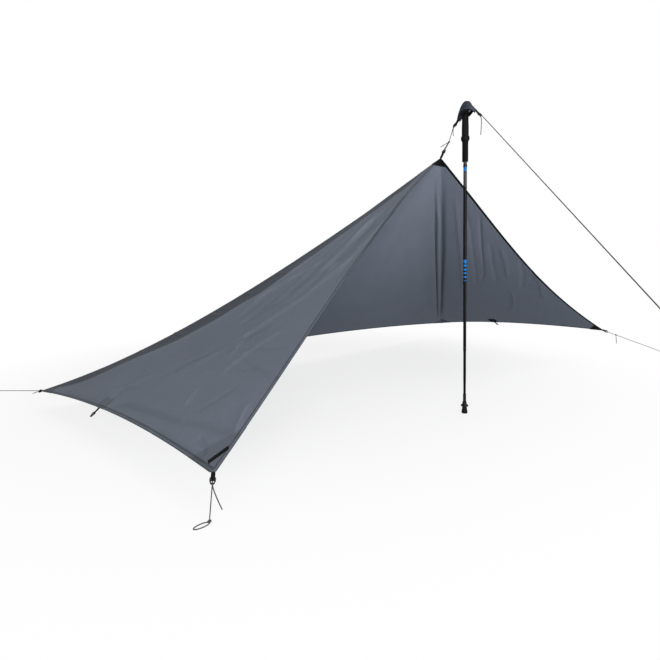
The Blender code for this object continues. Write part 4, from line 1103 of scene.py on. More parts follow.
@dataclass
class Hood:
    """The cloth hood over the grip: a thin shell with bound edges, pulled down at both ends."""

    plan: Plan
    finishes: Finishes
    front_reach: float = 0.088
    rear_reach: float = 0.060
    crown_radius: float = 0.016
    front_drop: float = 0.0630
    rear_drop: float = 0.0490
    skirt: float = 0.0520
    end_skirt: float = 0.0080
    half_width: float = 0.0178
    end_half_width: float = 0.0060
    thickness: float = 0.0006
    spacing_power: float = 1.4
    girth_power: float = 0.6
    taper_power: float = 1.8
    seat_gap: float = 0.0003
    length_faces: int = 72
    girth_faces: int = 44
    binding: float = 0.0065
    binding_end: float = 0.965
    binding_thickness: float = 0.0016
    pucker: float = 0.0011
    peak_reach: float = -0.018
    peak_width: float = 0.014
    peak_height: float = 0.008
    tape_end: float = -0.05
    tape_half: float = 0.0085
    tape_tone: float = 0.86
    cloth_tone: float = 0.10

    def crown(self, reach: float) -> float:
        """The height of the hood's inner crown line."""
        end = self.front_reach if reach < 0.0 else self.rear_reach
        drop = self.front_drop if reach < 0.0 else self.rear_drop
        full = math.hypot(self.crown_radius, end) - self.crown_radius
        fall = math.hypot(self.crown_radius, reach) - self.crown_radius
        peak = math.exp(-(((reach - self.peak_reach) / self.peak_width) ** 2))
        return self.plan.grip_top + self.seat_gap - drop * fall / full + self.peak_height * peak

    def aside(self, along: float, girth: float) -> float:
        """How far a point of the hood lies beside its middle line."""
        full = 1.0 - abs(along) ** self.taper_power
        half = self.end_half_width + (self.half_width - self.end_half_width) * full
        return half * math.copysign(abs(math.sin(girth * math.pi / 2)) ** self.girth_power, girth)

    def point(self, along: float, girth: float) -> Vector:
        """A point of the hood's inner face.

        Args:
            along: from the front, -1, to the rear, 1.
            girth: from hem to hem, -1 to 1, over the crown.

        Returns:
            The point.
        """
        along = math.copysign(abs(along) ** self.spacing_power, along)
        reach = along * (self.front_reach if along < 0.0 else self.rear_reach)
        crown, top = self.crown(reach), self.plan.grip_top + self.seat_gap
        full = 1.0 - abs(along) ** self.taper_power
        hem = (top - self.skirt) * full + (crown - self.end_skirt) * (1.0 - full)
        height = hem + (crown - hem) * abs(math.cos(girth * math.pi / 2)) ** self.girth_power
        return self.plan.by_pole(reach, height, self.aside(along, girth))

    def fold(self, along: float, across: float) -> float:
        """The short tension folds, which fan from the two straps and die out over the crown."""
        fold = math.sin(across * 13.0 + along * 2.0) * abs(along) ** 1.5
        fold += 0.5 * math.sin(along * 17.0 + across * 5.0) * abs(across)
        return self.pucker * (0.5 + 0.5 * fold) * (1.0 - abs(across) ** 8)

    def shell(self, lift: float, rim: bool = False) -> Mesh:
        """The open shell of the hood.

        Args:
            lift: how far it lies outside the inner face.
            rim: whether only its bound edges stay.

        Returns:
            The shell, with its UV map in metres over the hood.
        """
        bm, count = bmesh.new(), (self.length_faces, self.girth_faces)
        bmesh.ops.create_grid(bm, x_segments=count[0], y_segments=count[1], size=1.0)
        length, girth = (self.front_reach + self.rear_reach) / 2, self.skirt + self.half_width
        unwrap(bm, lambda place: (place.x * length, place.y * girth))
        inside = []
        for face in bm.faces if rim else ():
            middle = face.calc_center_median()
            if abs(middle.y) < 1.0 - self.binding / girth and abs(middle.x) < self.binding_end:
                inside.append(face)
        heights = [lift + self.fold(*vert.co.xy) for vert in bm.verts]
        shade = bm.verts.layers.float.new(PAINTED_SHADE_AND_TONE)
        for vert in bm.verts:
            along, across = vert.co.xy
            # The black tape that runs from the rear strap up to the peak
            taped = along > self.tape_end and abs(self.aside(along, across)) < self.tape_half
            vert[shade] = self.tape_tone if taped else self.cloth_tone
            vert.co = self.point(along, across)
        raise_sheet(bm, UP * (self.plan.grip_top - self.skirt), heights)
        bmesh.ops.delete(bm, geom=inside, context="FACES")
        return bm

    def build(self) -> None:
        shell = piece("hood_cloth", self.shell(0.0), self.finishes.hood, ("hood",))
        thicken(shell, self.thickness, 1.0)
        binding = piece("hood_binding", self.shell(self.thickness / 2, True), self.finishes.tape)
        thicken(binding, self.binding_thickness)
        soften(binding, 0.0004)


@dataclass
class TieOuts:
    """The webbing loops and line-lock buckles, and the places that everything hangs from."""

    plan: Plan
    hood: Hood
    fan: FanCloth
    finishes: Finishes
    corner_cut: float = 0.010
    apex_cut: float = 0.002
    corner_webbing: float = 0.017
    side_webbing: float = 0.024
    apex_webbing: float = 0.034
    hood_front_webbing: float = 0.028
    hood_rear_webbing: float = 0.026
    knot_rise: float = 0.00395
    wing_columns: int = 8
    side_column: int = 4
    hem: float = 0.012
    apex_slope: float = 0.70
    front_slope: float = 0.87
    rear_slope: float = 0.35
    plate: float = 0.0030
    shoulder: float = 0.0076
    cord_window: float = 0.0054
    nose_bar: float = 0.0040
    cord_diameter: float = 0.003
    seat_gap: float = 0.0003
    bar_points: int = 12

    def tie(
        self,
        corner: Vector,
        outward: Vector,
        pull: Vector,
        across: Vector,
        cut: float,
        webbing: float,
        square: bool = False,
    ) -> Tie:
        """Work out a tie-out.

        Args:
            corner: the cloth's corner.
            outward: the direction that leads out of the cloth there.
            pull: where the webbing points.
            across: what its buckle's width lies along.
            cut: how far in the cloth is cut off.
            webbing: the length of the loop.
            square: whether the seat is square to the cloth and not to the pull.

        Returns:
            The tie-out.
        """
        out, line = outward.normalized(), pull.normalized()
        normal = out if square else (line + out).normalized()
        return Tie(corner - out * cut, line, out, normal, flat_axes(line, across), webbing)

    def outward(self, name: str, *others: str) -> Vector:
        """The direction that leads out of the cloth at a corner, away from its neighbours."""
        place = getattr(self.plan, name)
        return -sum(((getattr(self.plan, o) - place).normalized() for o in others), Vector())

    def side_point(self, column: float, right: bool) -> Vector:
        """A point of a side edge, by the column of the solid's grid."""
        hem, turn = self.hem / self.fan.wing_speed, math.pi / 2 * (column - 1) / self.wing_columns
        share = hem + (self.fan.corner - hem) * math.sin(turn)
        return self.fan.edge(1.0 - share if right else share)

    def ties(self) -> dict[str, Tie]:
        """All the tie-outs.

        Returns:
            The tie-outs by name.
        """
        plan, hood, found = self.plan, self.hood, {}
        left, right = plan.front_left - plan.rear_left, plan.front_right - plan.rear_right
        for name, neighbours, across in (
            ("rear_left", ("front_left", "rear_right"), left),
            ("front_left", ("rear_left", "apex"), plan.across),
            ("front_right", ("rear_right", "apex"), UP),
            ("rear_right", ("rear_left", "front_right"), right),
        ):
            place, outward = getattr(plan, name), self.outward(name, *neighbours)
            held = name != "rear_right"
            pull = plan.peg(name) + UP * self.knot_rise - place if held else outward
            size = (self.corner_cut, self.corner_webbing)
            found[name] = self.tie(place, outward, pull, across, *size)
        for name, on_right in (("side_left", False), ("side_right", True)):
            columns = (self.side_column + shift for shift in (0, -1, 1))
            place, before, after = (self.side_point(column, on_right) for column in columns)
            pull = -inward(before, after, plan.apex)
            found[name] = self.tie(place, pull, pull, after - before, 0.0, self.side_webbing)
        outward = self.outward("apex", "front_left", "rear_left", "rear_right", "front_right")
        pull, size = plan.by_pole(-1.0, self.apex_slope), (self.apex_cut, self.apex_webbing)
        found["apex"] = self.tie(plan.apex, outward, pull, plan.across, *size)
        for name, reach, slope, webbing in (
            ("hood_front", -hood.front_reach, self.front_slope, self.hood_front_webbing),
            ("hood_rear", hood.rear_reach, self.rear_slope, self.hood_rear_webbing),
        ):
            outward = plan.by_pole(math.copysign(1.0, reach), 0.0)
            place, pull = plan.by_pole(reach, hood.crown(reach)), outward - UP * slope
            cut = -hood.thickness
            found[name] = self.tie(place, outward, pull, plan.across, cut, webbing, True)
        return found

    def round_bar(self, tie: Tie) -> list[Vector]:
        """The way of a cord round the nose bar of a buckle, from below the plate to above it.

        Args:
            tie: the tie-out whose buckle it goes through.

        Returns:
            The points of the way.
        """
        radius = (self.plate + self.cord_diameter) / 2 + self.seat_gap
        along, normal = tie.turn.col[0], tie.turn.col[2]
        centre = tie.bar + along * (self.shoulder + self.cord_window)
        out, route = along * self.nose_bar, []
        for turn in (math.pi * share for share in shares(self.bar_points)):
            route.append(centre - (along * math.sin(turn) + normal * math.cos(turn)) * radius)
        return [centre + out - normal * radius, *route, centre + out + normal * radius]

    def build(self, ties: dict[str, Tie]) -> list[Piece]:
        """Dress the webbing loops and the buckles.

        Args:
            ties: the tie-outs.

        Returns:
            The webbing loops.
        """
        straps = []
        for name, tie in ties.items():
            bm, back = merged_copy(name + "_webbing"), tie.turn.transposed()
            places = {tuple(vert.co): back @ (vert.co - tie.bar) for vert in bm.verts}
            unwrap(bm, lambda co: (places[tuple(co)].x + places[tuple(co)].z, places[tuple(co)].y))
            strap = piece(name + "_strap", bm, self.finishes.tape, (name + "_webbing",))
            soften(strap, 0.00025)
            straps.append(strap)
            body = name + "_lock" if name in ("side_left", "side_right", "rear_right") else "tent"
            bm, node = merged_copy(name + "_buckle"), (name + "_buckle",)
            soften(piece(name + "_line_lock", bm, self.finishes.lock, node, body), 0.0007, 3)
        return straps


@dataclass
class Canopy:
    """The cloth with its creases, front tapes, reinforcements and bare label."""

    fan: FanCloth
    ties: dict[str, Tie]
    finishes: Finishes
    lattice: int = 100
    refinements: int = 2
    crease_reach: float = 1.3
    crease_cell: float = 0.55
    cloth_thickness: float = 0.0003
    tape_thickness: float = 0.0005
    patch_thickness: float = 0.0006
    seat_gap: float = 0.0003
    tape_width: float = 0.012
    corner_patch: float = 0.095
    black_corner: float = 0.058
    corner_area: float = 0.285
    side_patch: Flat = (0.070, 0.050)
    side_share: float = 0.5594
    side_area: float = 0.12
    apex_patch: float = 0.034
    apex_area: float = 0.10
    apex_cuts: int = 3
    outer_hole: float = 0.004
    inner_hole: float = 0.009
    trim_reach: float = 0.060
    label_middle: Flat = (0.046, 0.030)
    label_size: Flat = (0.068, 0.0125)
    label_turn: float = -31.7
    band_shade: float = 0.52
    band_edge: float = 0.012
    fold_width: float = 0.0165
    crease_painted_shading: float = 16.0
    apex_painted_light: float = 0.40
    apex_reach: float = 1.15
    wing_share: float = 0.45

    def __post_init__(self) -> None:
        """Read where the cloth creases and where light and shade are painted on it."""
        self.creases = tension_creases(self.fan.middle)
        self.shade_lines = painted_shade_lines()

    def surface(self, keep: tuple[Plane, ...] = (), depth: float = 0.0, finer: int = 0) -> Mesh:
        """The hanging surface of the cloth, or of a part of it.

        Args:
            keep: planes that cut the flat cloth, whose normals lead to what goes.
            depth: how far towards the inside it is moved.
            finer: how many more cuts each of its edges gets.

        Returns:
            The open surface, which faces the weather, with flat metres as its UV map.
        """
        bm, fan = bmesh.new(), self.fan
        length, width, middle = fan.length, fan.width, fan.middle
        apex = bm.verts.new((middle, 0.0, 0.0))
        corners = ((0.0, 0.0), (0.0, width), (middle, width), (length, width), (length, 0.0))
        rim = [bm.verts.new((*corner, 0.0)) for corner in corners]
        for first, last in zip(rim, rim[1:]):
            bm.faces.new((apex, last, first))
        cuts = self.lattice - 1
        bmesh.ops.subdivide_edges(bm, edges=bm.edges[:], cuts=cuts, use_grid_fill=True)
        for plane in keep:
            cut_away(bm, plane)
        if finer:
            bmesh.ops.subdivide_edges(bm, edges=bm.edges[:], cuts=finer, use_grid_fill=True)
        self.refine(bm)
        unwrap(bm, lambda place: place.xy)
        flats = np.array([vert.co.xy for vert in bm.verts])
        shade = bm.verts.layers.float.new(PAINTED_SHADE_AND_TONE)
        for vert, flat, dark in zip(bm.verts, flats, self.shades(flats)):
            vert[shade] = dark
            vert.co = fan.point(tuple(flat))
        heights = sum(crease.heights(flats) for crease in self.creases)
        raise_sheet(bm, fan.cover, heights - depth)
        return bm

    def shades(self, flats: np.ndarray) -> np.ndarray:
        """How much painted shade darkens the cloth at some points, or painted light brightens it
        where it is less than nothing.

        Args:
            flats: the points of the flat cloth, one a row.

        Returns:
            The shares of its light that it loses to painted shade: along the painted lines and
            narrow creases, in the band under the left ridge, and less than nothing, as painted
            light, near the apex.
        """
        top = np.array((self.fan.middle, 0.0))
        along = np.array((-self.fan.middle, self.fan.width))
        length = float(np.linalg.norm(along))
        along /= length
        aside = np.array((-along[1], along[0]))
        crest = np.array(self.creases[0].line) - top
        runs = np.concatenate(((0.0,), crest @ along, (length,)))
        depths = np.concatenate(((0.0,), crest @ aside, (0.0,)))
        places = flats - top
        inside = places @ aside
        # Painted shade on the band between the left ridge and the crest below it
        gaps = (np.interp(places @ along, runs, depths) - inside, inside)
        band = math.prod(np.clip(gap / self.band_edge, 0.0, 1.0) for gap in gaps)
        total = self.band_shade * band + sum(shade_line.heights(flats) for shade_line in self.shade_lines)
        # Painted highlight on each narrow ridge and painted shade in each narrow valley
        narrow = [crease for crease in self.creases if crease.width < self.fold_width]
        total -= self.crease_painted_shading * sum(crease.heights(flats) for crease in narrow)
        # Painted light towards the apex, weaker on the left wing
        away = np.linalg.norm(places, axis=1)
        paling = self.apex_painted_light * np.clip(1.0 - away / self.apex_reach, 0.0, 1.0)
        return total - np.where(inside < 0.0, 1.0, self.wing_share) * paling

    def refine(self, bm: Mesh) -> None:
        """Cut the flat lattice finer where it follows a crease or a painted line of shade."""
        for _ in range(self.refinements):
            ends = np.array([[vert.co.xy for vert in edge.verts] for edge in bm.edges])
            middles, spans = ends.mean(axis=1), np.linalg.norm(ends[:, 0] - ends[:, 1], axis=1)
            wanted = np.zeros(len(spans), bool)
            for crease in (*self.creases, *self.shade_lines):
                close = crease.reach(middles)[0] < self.crease_reach * crease.width
                wanted |= close & (spans > self.crease_cell * crease.width)
            bm.edges.ensure_lookup_table()
            edges = [bm.edges[index] for index in np.flatnonzero(wanted)]
            bmesh.ops.subdivide_edges(bm, edges=edges, cuts=1)
            bmesh.ops.triangulate(bm, faces=bm.faces[:])

    def trim(self, bm: Mesh) -> None:
        """Cut the corners and the apex square, where the webbing leaves the cloth."""
        for name in ("rear_left", "front_left", "front_right", "rear_right", "apex"):
            tie = self.ties[name]
            cut_away(bm, (tie.seat, tie.normal), self.trim_reach)

    def near(self, flat: Flat, reach: float) -> tuple[Plane, ...]:
        """Planes that keep a square of the flat cloth round a point."""
        place = Vector((*flat, 0.0))
        sides = [Vector((x, y, 0.0)) for x, y in ((1, 0), (-1, 0), (0, 1), (0, -1))]
        return tuple((place + side * reach, side) for side in sides)

    def layer(self, name: str, bm: Mesh, thickness: float, node: str) -> Piece:
        """Trim a reinforcement to the tie-outs and give it its thickness."""
        self.trim(bm)
        black = node.startswith(("front_right", "apex", "front_tape", "side"))
        made = piece(name, bm, self.finishes.tape if black else self.finishes.cloth, (node,))
        thicken(made, thickness)
        return made

    def tapes(self) -> list[Piece]:
        """The tapes that bind the front edges on the inside."""
        depth, made = self.cloth_thickness / 2 + self.seat_gap + self.tape_thickness / 2, []
        below = (Vector((0.0, self.tape_width, 0.0)), Vector((0.0, 1.0, 0.0)))
        for side, sign in (("left", 1.0), ("right", -1.0)):
            half = (Vector((self.fan.middle, 0.0, 0.0)), Vector((sign, 0.0, 0.0)))
            name, bm = "front_tape_" + side, self.surface((below, half), depth)
            made.append(self.layer(name + "_binding", bm, self.tape_thickness, name))
        return made

    def patches(self) -> list[Piece]:
        """The reinforcements at the corners, the sides and the apex."""
        fan, half = self.fan, self.patch_thickness / 2
        inner = self.cloth_thickness / 2 + self.seat_gap + half
        over_tape = inner + self.tape_thickness + self.seat_gap
        # Each one: its solid, its tie-out, where it lies, its depth, and how far in it reaches
        corners = (
            ("front_left", (0.0, 0.0), over_tape, self.corner_patch),
            ("rear_left", (0.0, fan.width), inner, self.corner_patch),
            ("rear_right", (fan.length, fan.width), inner, self.corner_patch),
            ("front_right", (fan.length, 0.0), over_tape, self.black_corner),
        )
        made = []
        for name, flat, depth, reach in corners:
            bm, tie = self.surface(self.near(flat, self.corner_area), depth), self.ties[name]
            cut_away(bm, (tie.seat - tie.outward * reach, -tie.outward))
            made.append((name + "_patch", bm))
        for name, along in (("side_left", 0.0), ("side_right", fan.length)):
            area = self.near((along, fan.width * self.side_share), self.side_area)
            bm, tie = self.surface(area, inner), self.ties[name]
            for side in (tie.turn.col[1], -tie.turn.col[1]):
                cut_away(bm, (tie.seat + side * self.side_patch[0] / 2, side))
            cut_away(bm, (tie.seat - tie.outward * self.side_patch[1], -tie.outward))
            made.append((name + "_patch", bm))
        area, tie = self.near((fan.middle, 0.0), self.apex_area), self.ties["apex"]
        outer = -inner
        for name, depth, hole in (
            ("apex_patch_inner", over_tape, self.inner_hole),
            ("apex_patch_outer", outer, self.outer_hole),
        ):
            bm = self.surface(area, depth, self.apex_cuts)
            cut_away(bm, (tie.seat - tie.outward * self.apex_patch, -tie.outward))
            cut_away(bm, (tie.seat - tie.outward * hole, tie.outward))
            made.append((name, bm))
        names = [node.removesuffix("_patch") + "_reinforcement" for node, _ in made]
        return [self.layer(n, bm, 2 * half, node) for n, (node, bm) in zip(names, made)]

    def bare_label(self) -> Piece:
        """The plain strip sewn on by the front left corner."""
        length, width = self.label_size
        turn = Matrix.Rotation(math.radians(self.label_turn), 2)
        bm = bmesh.new()
        bmesh.ops.create_grid(bm, x_segments=24, y_segments=4, size=0.5)
        for vert in bm.verts:
            vert.co.x, vert.co.y = vert.co.x * length, vert.co.y * width
        unwrap(bm, lambda place: place.xy)
        lift = self.cloth_thickness + self.seat_gap
        for vert in bm.verts:
            flat = tuple(Vector(self.label_middle) + turn @ vert.co.xy)
            height = sum(float(crease.heights(np.array([flat]))[0]) for crease in self.creases)
            vert.co = self.fan.point(flat) + self.fan.normal(flat) * (lift + height)
        bm.normal_update()
        made = piece("bare_label", bm, self.finishes.tape)
        thicken(made, self.tape_thickness)
        return made

    def build(self, straps: list[Piece]) -> None:
        bm = self.surface()
        self.trim(bm)
        cloth = piece("canopy_cloth", bm, self.finishes.cloth, ("canopy",), sharp=80.0)
        thicken(cloth, self.cloth_thickness)
        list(self.tapes())
        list(self.patches())
        self.bare_label()


@dataclass
class Cordage:
    """The cords: taut lines with peg loops, hanging tails, and their knots."""

    plan: Plan
    outs: TieOuts
    ties: dict[str, Tie]
    finishes: Finishes
    diameter: float = 0.003
    spacing: float = 0.0036
    knot_length: float = 0.011
    knot_width: float = 0.0085
    knot_turns: int = 3
    knot_steps: int = 14
    knot_bulge: float = 0.72
    knot_sides: int = 10
    loop_length: float = 0.042
    loop_width: float = 0.017
    loop_points: int = 28
    step: float = 0.080
    tail_step: float = 0.014
    tail_points: int = 12
    short_points: int = 8
    steep: float = 0.35
    front_right_knot: float = 0.046
    link_knot_reach: float = 0.1466
    link_knot_drop: float = 0.1139
    rear_left_fall: Place = (-0.026, 0.022, -0.010)
    front_left_fall: Place = (0.011, -0.028, -0.060)
    front_right_fall: Place = (0.004, -0.003, -0.050)
    guyline_fall: Place = (-0.006, -0.004, -0.070)
    link_fall: Place = (0.014, 0.012, -0.030)
    link_knot_fall: Place = (-0.026, 0.021, -0.019)

    def knot(self, name: str, centre: Vector, direction: Vector, node: str) -> Piece:
        """A barrel knot: the cord's own turns, wound round it and tucked in at both ends.

        Args:
            name: the knot's name.
            centre: its middle.
            direction: the line that it lies along.
            node: the solid that it stands for.

        Returns:
            The knot.
        """
        turn = flat_axes(direction, direction.orthogonal())
        path = []
        for share in shares(self.knot_turns * self.knot_steps):
            bulge = math.sqrt(max(0.0, 1.0 - self.knot_bulge * (2.0 * share - 1.0) ** 2))
            radius = (self.knot_width - self.diameter) / 2 * bulge
            angle = 2.0 * math.pi * self.knot_turns * share
            along = (share - 0.5) * (self.knot_length - self.diameter)
            place = (along, radius * math.cos(angle), radius * math.sin(angle))
            path.append(centre + turn @ Vector(place))
        bm = tube(path, self.diameter / 2, self.knot_sides)
        return piece(name, bm, self.finishes.cord, (node,))

    def line(
        self,
        name: str,
        path: list[Vector],
        nodes: tuple[str, ...],
        end: str = "knot",
        lay: str = "taut",
        on_it: tuple[Piece, ...] = (),
    ) -> None:
        """A cord along a path.

        Args:
            name: the cord's name.
            path: its centre line, from where it leaves the shelter.
            nodes: the solids that it stands for.
            end: what it ends in, which is not used.
            lay: how it hangs, which is not used.
            on_it: the pieces on it, which are not used.
        """
        made = piece(name, tube(path, self.diameter / 2), self.finishes.cord, nodes)

    def tail(self, name: str, start: Vector, pull: Vector, node: str) -> None:
        """A loose end, which leaves along its pull and bends over to where it hangs."""
        fall = Vector(getattr(self, name + "_fall"))
        turn, end = start + pull.normalized() * self.tail_step, start + fall
        path = [
            between(between(start, turn, part), between(turn, end, part), part)
            for part in shares(self.tail_points)
        ]
        self.line(name + "_loose_end", path, (node,), "bare", "hanging")

    def knot_tail(self, name: str, middle: Vector, node: str) -> None:
        """The loose end that leaves a knot."""
        fall = Vector(getattr(self, name + "_fall"))
        end = middle + fall.normalized() * self.knot_width / 2 + fall
        path = [between(middle, end, part) for part in shares(self.short_points)]
        self.line(name + "_loose_end", path, (node,), "bare", "hanging")

    def peg_loop(self, peg: Vector, away: Vector) -> list[Vector]:
        """The loop that a peg goes through, flat on the ground."""
        outward = Vector((away.x, away.y, 0.0)).normalized()
        side, middle = UP.cross(outward), peg + UP * self.diameter / 2
        first, route = math.asin(self.spacing / self.loop_width), []
        for part in shares(self.loop_points):
            turn = first + 2.0 * (math.pi - first) * part
            out = outward * self.loop_length * (1.0 - math.cos(turn)) / 2
            route.append(middle + out + side * self.loop_width * math.sin(turn) / 2)
        return route

    def ground_line(self, name: str, start: list[Vector]) -> None:
        """A taut cord to the ground, with its knot and its peg loop.

        Args:
            name: which cord.
            start: the points that it starts with, up to where it runs straight.
        """
        peg = self.plan.peg(name)
        begin, aim = start[-1], peg + UP * self.knot_width / 2
        pull = (aim - begin).normalized()
        level = Vector((pull.x, pull.y, 0.0))
        away = level if level.length > self.steep else peg.normalized()
        closing = self.knot(name + "_peg_knot", aim, away, name + "_peg_loop")
        count = max(1, math.ceil((aim - begin).length / self.step))
        run = [between(begin, aim, part) for part in shares(count)]
        path = [*start[:-1], *run, *self.peg_loop(peg, away)]
        self.line(name + "_line", path, (name + "_cord", name + "_peg_loop"), on_it=(closing,))

    def knotted_loop(self, name: str, tie: Tie, middle: Vector) -> None:
        """A loop from a buckle's bar to a knot, as two strands that meet in it.

        Args:
            name: the loop's name.
            tie: the tie-out whose buckle it goes through.
            middle: the knot's middle.
        """
        turn = self.outs.round_bar(tie)
        knot = self.knot(name + "_knot_turns", middle, middle - tie.nose, name + "_knot")
        apart = (turn[-1] - turn[0]).normalized() * self.spacing / 2
        half, node = len(turn) // 2, (name + "_loop",)
        upper, lower = [*turn[half:], middle + apart], [*turn[half::-1], middle - apart]
        self.line(name + "_upper_strand", upper, node, on_it=(knot,))
        self.line(name + "_lower_strand", lower, node)

    def build(self) -> None:
        """Build every cord."""
        for name in ("rear_left", "front_left", "guyline"):
            tie = self.ties["hood_front" if name == "guyline" else name]
            turn = self.outs.round_bar(tie)
            self.ground_line(name, turn)
            self.tail(name, turn[0], tie.pull, name + "_cord")
        tie = self.ties["front_right"]
        aim = self.plan.peg("front_right") + UP * self.knot_width / 2
        middle = tie.nose + (aim - tie.nose).normalized() * self.front_right_knot
        self.knotted_loop("front_right", tie, middle)
        self.ground_line("front_right", [middle])
        self.knot_tail("front_right", middle, "front_right_knot_tail")
        middle = self.plan.by_pole(self.link_knot_reach, self.plan.grip_top - self.link_knot_drop)
        self.knotted_loop("link", self.ties["apex"], middle)
        rear = self.ties["hood_rear"]
        turn = self.outs.round_bar(rear)
        self.line("link_line", [*turn[::-1], middle], ("link_cord",))
        self.tail("link", turn[-1], rear.pull, "link_cord")
        self.knot_tail("link_knot", middle, "link_knot_tail")


# The pole


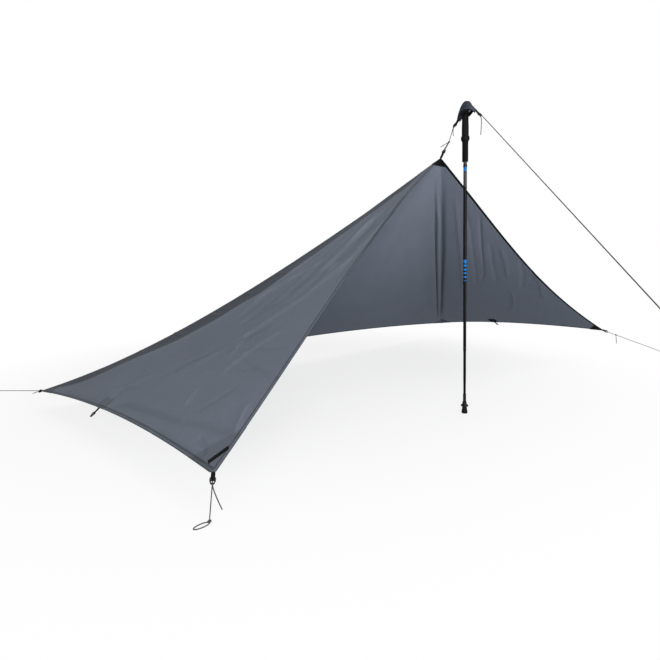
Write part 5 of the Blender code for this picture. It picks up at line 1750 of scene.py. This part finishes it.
@dataclass
class TrekkingPole:
    """The pole: grip, foam, collar, three twist-lock tubes, tip, basket and foot."""

    finishes: Finishes
    gap: float = 0.0003
    steps: int = 64
    grip_top: float = 1.3021
    grip_length: float = 0.1540
    grip_dome: float = 0.0140
    grip_radius: float = 0.0139
    waist_radius: float = 0.0131
    waist_drop: float = 0.0670
    flare_radius: float = 0.0172
    flare_rise: float = 0.0130
    flare_tall: float = 0.0110
    foam_radius: float = 0.0122
    foam_end_radius: float = 0.0117
    foam_length: float = 0.0822
    foam_edge: float = 0.0015
    neck_showing: float = 0.0125
    collar_length: float = 0.0095
    collar_radius: float = 0.0081
    collar_edge: float = 0.0008
    wall: float = 0.0005
    upper_radius: float = 0.0071
    upper_bottom: float = 0.5548
    upper_top: float = 1.2838
    middle_radius: float = 0.00635
    middle_bottom: float = 0.2698
    middle_top: float = 0.6548
    lower_radius: float = 0.0056
    lower_bottom: float = 0.0658
    lower_top: float = 0.3698
    lower_end_radius: float = 0.0051
    lower_end_length: float = 0.046
    lower_taper: float = 0.038
    foot_height: float = 0.0300
    foot_floor: float = 0.0050
    foot_radius: float = 0.0125
    foot_top_radius: float = 0.0098
    foot_flare: float = 0.0065
    foot_neck: float = 0.0215
    foot_edge: float = 0.0016
    ferrule_neck: float = 0.0048
    basket_radius: float = 0.0155
    basket_rim: float = 0.0036
    basket_bottom: float = 0.0310
    basket_top: float = 0.0500
    hub_radius: float = 0.0087
    hub_length: float = 0.0095

    def turned(
        self,
        node: str,
        profile: list[Flat],
        look: Look,
        body: str = "tent",
        edge: float = 0.0003,
        closed: bool = True,
    ) -> None:
        """Turn a piece from its profile.

        Args:
            node: the solid that it stands for.
            profile: radii and heights, down the outer side.
            look: its material and slot.
            body: the body that carries it.
            edge: the rounding of its crisp edges.
            closed: whether the profile closes on itself, as a tube's does.
        """
        bm = bmesh.new()
        points = [bm.verts.new((radius, 0.0, height)) for radius, height in profile]
        for pair in zip(points, [*points[1:], points[0]] if closed else points[1:]):
            bm.edges.new(pair)
        geometry, turn = [*bm.verts, *bm.edges], 2.0 * math.pi
        bmesh.ops.spin(bm, geom=geometry, axis=UP, angle=turn, steps=self.steps, use_merge=True)
        bmesh.ops.remove_doubles(bm, verts=bm.verts[:], dist=0.00001)
        bmesh.ops.recalc_face_normals(bm, faces=bm.faces[:])
        soften(piece(node + "_turned", bm, look, (node,), body, 30.0), edge)

    def grip(self) -> None:
        """The grip: domed head, waist and flared lip."""
        top, head, bottom = self.grip_top, self.grip_radius, self.grip_top - self.grip_length
        turns = [math.pi / 2 * part for part in shares(12)]
        dome, tall = self.grip_dome, self.flare_tall
        profile = [(head * math.sin(t), top - dome * (1.0 - math.cos(t))) for t in turns]
        waist, flare = top - self.waist_drop, bottom + self.flare_rise
        marks = (
            (head, top - dome),
            ((head + self.waist_radius) / 2, (top - dome + waist) / 2),
            (self.waist_radius, waist),
            (head, (waist + flare) / 2),
            (head, flare + tall),
            (self.flare_radius, flare + tall / 3),
            (self.flare_radius, flare - tall / 3),
            (head, bottom),
        )
        for (r0, z0), (r1, z1) in zip(marks, marks[1:]):
            parts = shares(5)[1:]
            profile += [(r0 + (r1 - r0) * eased(part), z0 + (z1 - z0) * part) for part in parts]
        bore, floor = self.upper_radius + self.gap, self.upper_top + self.gap
        profile += [(bore, bottom), (bore, floor), (0.0, floor)]
        self.turned("grip", profile, self.finishes.grip, closed=False)

    def neck(self) -> None:
        """The foam sleeve and the collar below the grip."""
        bore, edge, rim = self.upper_radius + self.gap, self.foam_edge, self.foam_end_radius
        top = self.grip_top - self.grip_length - self.gap
        bottom = top - self.foam_length
        full, end = self.foam_radius, bottom + edge / 2
        foam = [(rim, top), (full, top - edge * 2), (full, bottom + edge * 2), (rim, end)]
        foam += [(rim - edge, bottom), (bore, bottom), (bore, top)]
        self.turned("foam_extension", foam, self.finishes.foam, edge=0.0008)
        top, radius, edge = bottom - self.neck_showing, self.collar_radius, self.collar_edge
        bottom, rim = top - self.collar_length, radius - edge / 2
        collar = [(rim, top), (radius, top - edge), (radius, bottom + edge), (rim, bottom)]
        self.turned("neck_collar", [*collar, (bore, bottom), (bore, top)], self.finishes.lock)

    def tubes(self) -> None:
        """The three tubes."""
        radius, narrow = self.lower_radius, self.lower_bottom + self.lower_end_length
        end, wide = self.lower_end_radius, narrow + self.lower_taper
        upper = [(self.upper_radius, self.upper_top), (self.upper_radius, self.upper_bottom)]
        middle = [(self.middle_radius, self.middle_top), (self.middle_radius, self.middle_bottom)]
        lower = [(radius, self.lower_top), (radius, wide), (end, narrow), (end, self.lower_bottom)]
        for node, outer, look, body in (
            ("upper_shaft", upper, self.finishes.upper_tube, "tent"),
            ("middle_shaft", middle, self.finishes.tube, "middle_section"),
            ("lower_shaft", lower, self.finishes.tube, "lower_section"),
        ):
            inner = [(radius - self.wall, height) for radius, height in reversed(outer)]
            self.turned(node, outer + inner, look, body, 0.00015)

    def tip(self) -> None:
        """The basket and the rubber foot over the carbide tip."""
        bore, low, high = self.ferrule_neck + self.gap, self.basket_bottom, self.basket_top
        hub, rim, half = self.hub_radius, self.basket_radius, self.basket_rim / 2
        basket = [(hub, high), (hub, high - self.hub_length), (rim - half, low + half * 3)]
        basket += [(rim, low + half * 2), (rim, low), (bore, low), (bore, high)]
        self.turned("basket", basket, self.finishes.lock, "lower_section", 0.0006)
        edge, floor, height = self.foot_edge, self.foot_floor, self.foot_height
        foot = [(0.0, floor), (bore, floor), (bore, height), (self.foot_top_radius, height - edge)]
        foot += [(self.foot_top_radius, self.foot_neck), (self.foot_radius, self.foot_flare)]
        foot += [(self.foot_radius, edge), (self.foot_radius - edge, 0.0), (0.0, 0.0)]
        self.turned("rubber_foot", foot, self.finishes.foot, "lower_section", 0.0006, False)

    def build(self) -> None:
        """Build the pole, and finish the solids whose shape is right as they are."""
        self.grip()
        self.neck()
        self.tubes()
        self.tip()
        lock, white, steel = self.finishes.lock, self.finishes.white, self.finishes.steel
        carried = {"tip_ferrule": lock, "carbide_tip": steel, "middle_screw": steel}
        carried |= {"lower_screw": steel, "middle_expander": white, "lower_expander": white}
        for node, look in carried.items():
            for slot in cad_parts[node].material_slots:
                slot.link, slot.material = "OBJECT", look.material


# The whole


def main() -> None:
    """Build the studio and the shelter, cords first."""
    logging.basicConfig(level=logging.INFO, format="%(message)s")
    studio, finishes, plan = Studio(), Finishes(), Plan()
    studio.camera()
    fan, hood = FanCloth(plan), Hood(plan, finishes)
    outs = TieOuts(plan, hood, fan, finishes)
    ties = outs.ties()
    Cordage(plan, outs, ties, finishes).build()
    straps = [strap for strap in outs.build(ties) if not strap.name.startswith("hood")]
    Canopy(fan, ties, finishes).build(straps)
    hood.build()
    TrekkingPole(finishes).build()
    studio.build()


if __name__ == "__main__":
    main()
